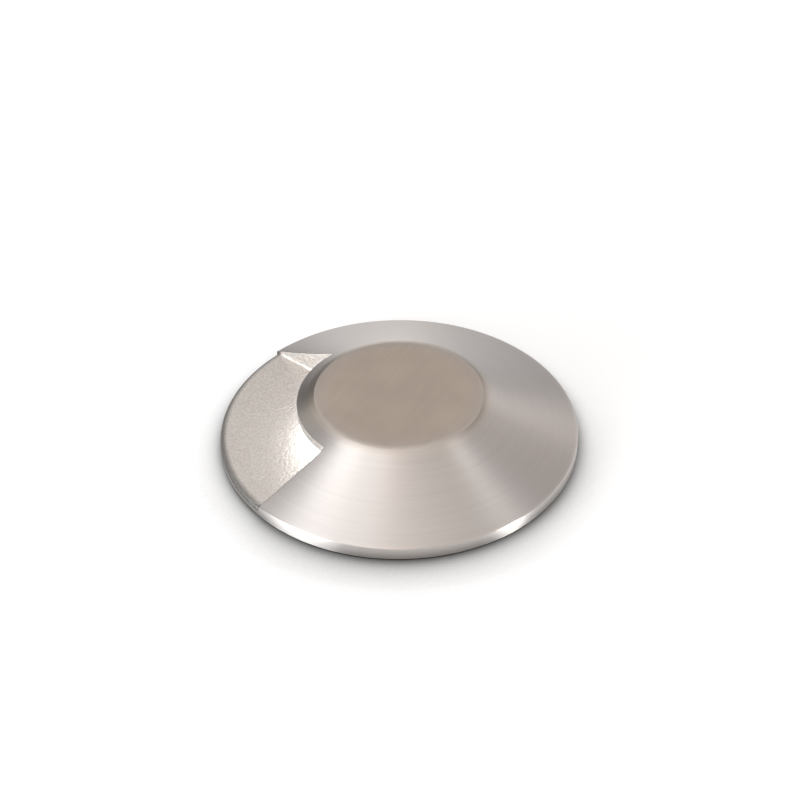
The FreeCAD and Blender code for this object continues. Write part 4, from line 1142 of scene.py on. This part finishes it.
    def slot_of(self, face: bpy.types.MeshPolygon) -> CoverSlot:
        """Find a face's material slot.

        Args:
            face: A face of the finished cover.

        Returns:
            The slot of its finish.
        """
        near, middle, reach = self.closeness, face.center, face.center.xy.length
        on_sill = face.normal.z > self.level and middle.z < self.floor_height + self.floor_gap
        nearest = self.sill_radius if on_sill else self.lip_radius - 5 * near
        in_gap = middle.z < self.pocket_top and reach < self.pocket_radius + 5 * near
        on_rim = reach > self.radius - 5 * near and abs(face.normal.z) < self.facing_up
        if (reach >= nearest and middle.z >= self.round_foot and not on_rim
                and (on_sill or not in_gap) and self.off_side(middle) >= -12 * near
                and middle.z < self.slope_height(reach) - 6 * near):
            return CoverSlot.CAST
        if reach > self.radius - self.rim_round and 0 < middle.z <= self.rim_round_middle[1]:
            return CoverSlot.RIM
        if face.normal.z > self.facing_up and middle.z > self.floor_height:
            return CoverSlot.TOP if reach < self.top_finish_radius else CoverSlot.SLOPE
        return CoverSlot.INNER

    def paint(self, piece: bpy.types.Object) -> None:
        """Give each face of the cover its finish.

        Args:
            piece: The finished cover.
        """
        slots = piece.data.materials
        slots.clear()
        for finish in (SlopeSteel(), TopSteel(), RimSteel(), CastSteel(), INNER_STEEL):
            slots.append(finish.build())
        for face in piece.data.polygons:
            face.material_index = self.slot_of(face).value

    def build(self) -> None:
        """Model the cover, and dress its gasket and screws."""
        piece = self.turn_blank()
        self.drill_grub_holes(piece)
        self.open_outlet(piece)
        self.slide_columns(piece)
        self.break_edges(piece)
        self.roughen_cast(piece)
        self.paint(piece)
        only_active(piece)
        bpy.ops.object.shade_smooth_by_angle(angle=self.smooth_angle)
        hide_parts("cover")
        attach(piece, "cover")
        LOG.info("modelled %s: %s faces", piece.name, len(piece.data.polygons))
        dress(BLACK_RUBBER, "rim_gasket")
        dress(SCREW_STEEL, "grub_screws")


@dataclass
class LightUnit:
    """The sealed unit: housing, optics, lamps, supply and gland."""

    def build(self) -> None:
        """Dress the unit's pieces."""
        dress(LitOpal(), "lens_cup")
        dress(HOUSING_ALLOY, "housing", "housing_base")
        dress(SPRING_STEEL, "clamp_ring", "clip_feet", "clip_leaf_1", "clip_leaf_2", "clip_leaf_3")
        dress(SCREW_STEEL, "clamp_screws", "base_screws", "board_screws", "driver_screws",
              "terminal_screws", "clip_screws")
        dress(GREY_SILICONE, "lens_gasket", "thermal_pad")
        dress(MIRROR_ALLOY, "cone_mirror")
        dress(BOARD_WHITE, "led_board")
        dress(CHIP_YELLOW, "led_chips")
        dress(BUSH_NYLON, "pin_bush")
        dress(PIN_BRASS, "feed_pins")
        dress(DRIVER_BLACK, "driver_case")
        dress(BLOCK_GREY, "terminal_block")
        dress(NICKEL_BRASS, "gland_body", "gland_locknut", "gland_nut")
        dress(BLACK_RUBBER, "gland_washer", "gland_seal", "base_oring")
        dress(SLEEVE_PLASTIC, "vent_plug")


@dataclass
class Sleeve:
    """The plastic sleeve that is set into the ground."""

    def build(self) -> None:
        """Dress the sleeve's pieces."""
        dress(SLEEVE_PLASTIC, "sleeve_tube", "sleeve_base")
        dress(BLACK_RUBBER, "cable_grommet")


# ---------------------------------------------------------------- studio


def direction(azimuth: float, elevation: float) -> Vector:
    """Return the unit vector to an azimuth, from +X towards +Y, and an elevation, in degrees."""
    turn, rise = math.radians(azimuth), math.radians(elevation)
    return Vector((math.cos(rise) * math.cos(turn), math.cos(rise) * math.sin(turn),
                   math.sin(rise)))


@dataclass(frozen=True)
class Softbox:
    """One soft round lamp that looks at the light.

    Attributes:
        name: The lamp's name.
        azimuth: Where it stands, in degrees from +X towards +Y.
        elevation: Degrees above the ground.
        half_angle: Half of its width, in degrees, as seen from the light.
        brightness: How bright its face is, where 1 is white paper.
        colour: Its colour.
        distance: From the light, in metres.
        soft_edge: How much wider its face is than the half angle, for the fade.
        fade_from: Where the fade starts, in shares of the face's width from its middle.
        face_middle: The middle of its face, in the same shares.
        face_edge: Where the fade ends.
    """

    name: str
    azimuth: float
    elevation: float
    half_angle: float
    brightness: float
    colour: Colour = (1.0, 1.0, 1.0)
    distance: float = 1.2
    soft_edge: float = 1.4
    fade_from: float = 0.2
    face_middle: Triple = (0.5, 0.5, 0.0)
    face_edge: float = 0.5

    def build(self) -> None:
        """Add the lamp, with a face that fades towards its edge as a diffuser does."""
        radius = self.distance * math.tan(math.radians(self.half_angle)) * self.soft_edge
        data = bpy.data.lights.new(self.name, "AREA")
        data.shape = "DISK"
        data.size = 2 * radius
        data.energy = self.brightness * (math.pi * radius) ** 2
        data.color = self.colour
        data.use_nodes = True
        nodes = Nodes(data.node_tree)
        place = nodes.run("NewGeometry", {}, "Parametric")
        reach = nodes.vector_math("DISTANCE", place, self.face_middle, result="Value")
        glow = next(node for node in nodes.tree.nodes if node.type == "EMISSION")
        nodes.feed(glow.inputs["Strength"], nodes.ramp(reach, self.face_edge, self.fade_from))
        lamp = bpy.data.objects.new(self.name, data)
        bpy.context.scene.collection.objects.link(lamp)
        lamp.visible_camera = False
        lamp.location = direction(self.azimuth, self.elevation) * self.distance
        lamp.rotation_euler = (-lamp.location).to_track_quat("-Z", "Y").to_euler()


@dataclass
class Studio:
    """Floor, soft lamps, pale surroundings and the camera of the photograph."""

    hole_radius: float = 49.9 * MM
    floor_radius: float = 6.0
    floor_sides: int = 256
    floor_drop: float = 0.1 * MM
    floor_colour: Colour = (0.80, 0.82, 0.845)
    floor_glow: float = 0.27
    shade_reach: float = 25.0 * MM
    shade_lean: Triple = (-0.5, 0.0, 0.866)
    shade_depth: float = 1.8
    shade_samples: int = 8
    camera_azimuth: float = 2.4
    camera_elevation: float = 40.13
    camera_distance: float = 0.84
    camera_roll: float = 0.45
    lens: float = 112.2
    sensor: float = 36.0
    shift: Point = (0.001, 0.048)
    horizon: float = 0.85
    band_top: float = 8.0
    band_fade: float = 22.0
    ambient: float = 0.27
    ambient_colour: Colour = (1.06, 0.98, 0.92)
    flag_place: Point = (215.0, 9.0)
    flag_reach: float = 36.0
    flag_core: float = 12.0
    flag_tone: float = 0.06
    lamps: tuple[Softbox, ...] = (
        Softbox("high_far", 222.4, 72.0, 28.0, 0.86, (1.0, 1.0, 1.02)),
        Softbox("high_left", 302.4, 60.0, 20.0, 1.43, (1.01, 1.0, 0.97)),
        Softbox("front_right", 37.0, 48.0, 38.0, 0.52, (1.08, 0.98, 0.86)),
        Softbox("glint", 66.9, 2.0, 5.0, 76.0),
        Softbox("rim_left", 306.0, 3.0, 17.0, 17.0, (0.97, 1.0, 1.01)),
        Softbox("side_right", 120.0, 24.0, 28.0, 0.41, (1.06, 0.99, 0.95)),
        Softbox("back", 187.0, 9.0, 9.0, 1.3),
        Softbox("high_right", 122.4, 60.0, 9.0, 0.73, (0.98, 1.0, 1.04)),
        Softbox("back_right", 150.0, 26.0, 9.0, 0.6, (1.06, 0.99, 0.95)),
        Softbox("front", 352.4, 48.0, 14.0, 0.85, (1.15, 0.96, 0.82)),
        Softbox("back_left", 222.4, 36.0, 9.0, 0.87, (1.03, 0.99, 0.85)),
    )

    def floor_material(self) -> bpy.types.Material:
        """Make a pale floor that is white where nothing shades it.

        Returns:
            The material, which shows on its upper side only.
        """
        shader = Shader("studio_floor")
        # Painted contact shadow: ambient occlusion, leaned towards the back by shade_lean, darkens
        # the floor's colour and its glow near the light.
        nearby = {"Distance": self.shade_reach, "Normal": shader.vector(*self.shade_lean)}
        opening = shader.run("AmbientOcclusion", nearby, "AO", samples=self.shade_samples)
        open_share = shader.math("POWER", opening, self.shade_depth)
        diffuse = shader.run("BsdfDiffuse", {
            "Color": shader.shaded(self.floor_colour, open_share)})
        path = shader.node("LightPath").outputs
        through = shader.math("ADD", path["Is Glossy Ray"], path["Is Transmission Ray"])
        seen = shader.math("ADD", path["Is Camera Ray"], through, clamp=True)
        strength = shader.math("MULTIPLY", seen, self.floor_glow)
        glow = shader.run("Emission", {"Strength": shader.math("MULTIPLY", strength, open_share)})
        return shader.close(shader.run("MixShader", {
            0: shader.run("NewGeometry", {}, "Backfacing"),
            1: shader.run("AddShader", {0: diffuse, 1: glow}),
            2: shader.run("BsdfTransparent", {})}))

    def build_floor(self) -> None:
        """Add a round floor with a hole for the sleeve."""
        bpy.ops.object.select_all(action="DESELECT")
        bpy.ops.mesh.primitive_circle_add(
            vertices=self.floor_sides, radius=self.hole_radius, location=(0, 0, -self.floor_drop))
        floor = bpy.context.object
        floor.name = "floor"
        bpy.ops.object.mode_set(mode="EDIT")
        bpy.ops.mesh.select_all(action="SELECT")
        bpy.ops.mesh.extrude_edges_move()
        ratio = self.floor_radius / self.hole_radius
        bpy.ops.transform.resize(value=(ratio, ratio, 1.0))
        bpy.ops.object.mode_set(mode="OBJECT")
        if floor.data.polygons[0].normal.z < 0:
            floor.data.flip_normals()
        floor.data.materials.append(self.floor_material())

    def build_world(self) -> None:
        """Surround the light with a pale studio: white low down, greyer above, one dark flag."""
        world = bpy.data.worlds.new("studio")
        bpy.context.scene.world = world
        world.use_nodes = True
        world.node_tree.nodes.clear()
        nodes = Nodes(world.node_tree)
        view = nodes.run("TexCoord", {}, "Generated")
        rise = nodes.ramp(nodes.parts(view)[2], math.sin(math.radians(self.band_top)),
                          math.sin(math.radians(self.band_fade)))
        above = tuple(self.ambient * part for part in self.ambient_colour)
        shades = nodes.mix(rise, (self.horizon,) * 3, above)
        agree = nodes.vector_math("DOT_PRODUCT", view, direction(*self.flag_place), result="Value")
        behind_flag = nodes.ramp(agree, math.cos(math.radians(self.flag_reach)),
                                 math.cos(math.radians(self.flag_core)))
        colour = nodes.mix(behind_flag, shades, (self.flag_tone,) * 3)
        surface = nodes.node("OutputWorld").inputs["Surface"]
        nodes.feed(surface, nodes.run("Background", {"Color": colour}))

    def build_camera(self) -> None:
        """Add the camera at the photograph's angle."""
        data = bpy.data.cameras.new("photo_camera")
        data.lens = self.lens
        data.sensor_width = self.sensor
        data.shift_x, data.shift_y = self.shift
        data.clip_start = 10 * MM
        camera = bpy.data.objects.new("photo_camera", data)
        bpy.context.scene.collection.objects.link(camera)
        place = direction(self.camera_azimuth, self.camera_elevation) * self.camera_distance
        aim = (-place).to_track_quat("-Z", "Y").to_matrix().to_4x4()
        roll = Matrix.Rotation(math.radians(-self.camera_roll), 4, "Z")
        camera.matrix_world = Matrix.Translation(place) @ aim @ roll
        bpy.context.scene.camera = camera

    def build(self) -> None:
        """Set up everything round the light."""
        self.build_floor()
        self.build_world()
        for lamp in self.lamps:
            lamp.build()
        self.build_camera()
        bpy.context.scene.view_settings.view_transform = "Standard"


def main() -> None:
    """Build the light's pieces and the studio, in order."""
    logging.basicConfig(level=logging.INFO, format="%(name)s: %(message)s")
    for assembly in (Sleeve(), LightUnit(), Cover()):
        assembly.build()
        LOG.info("built %s", type(assembly).__name__)
    Studio().build()


if __name__ == "__main__":
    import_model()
    main()
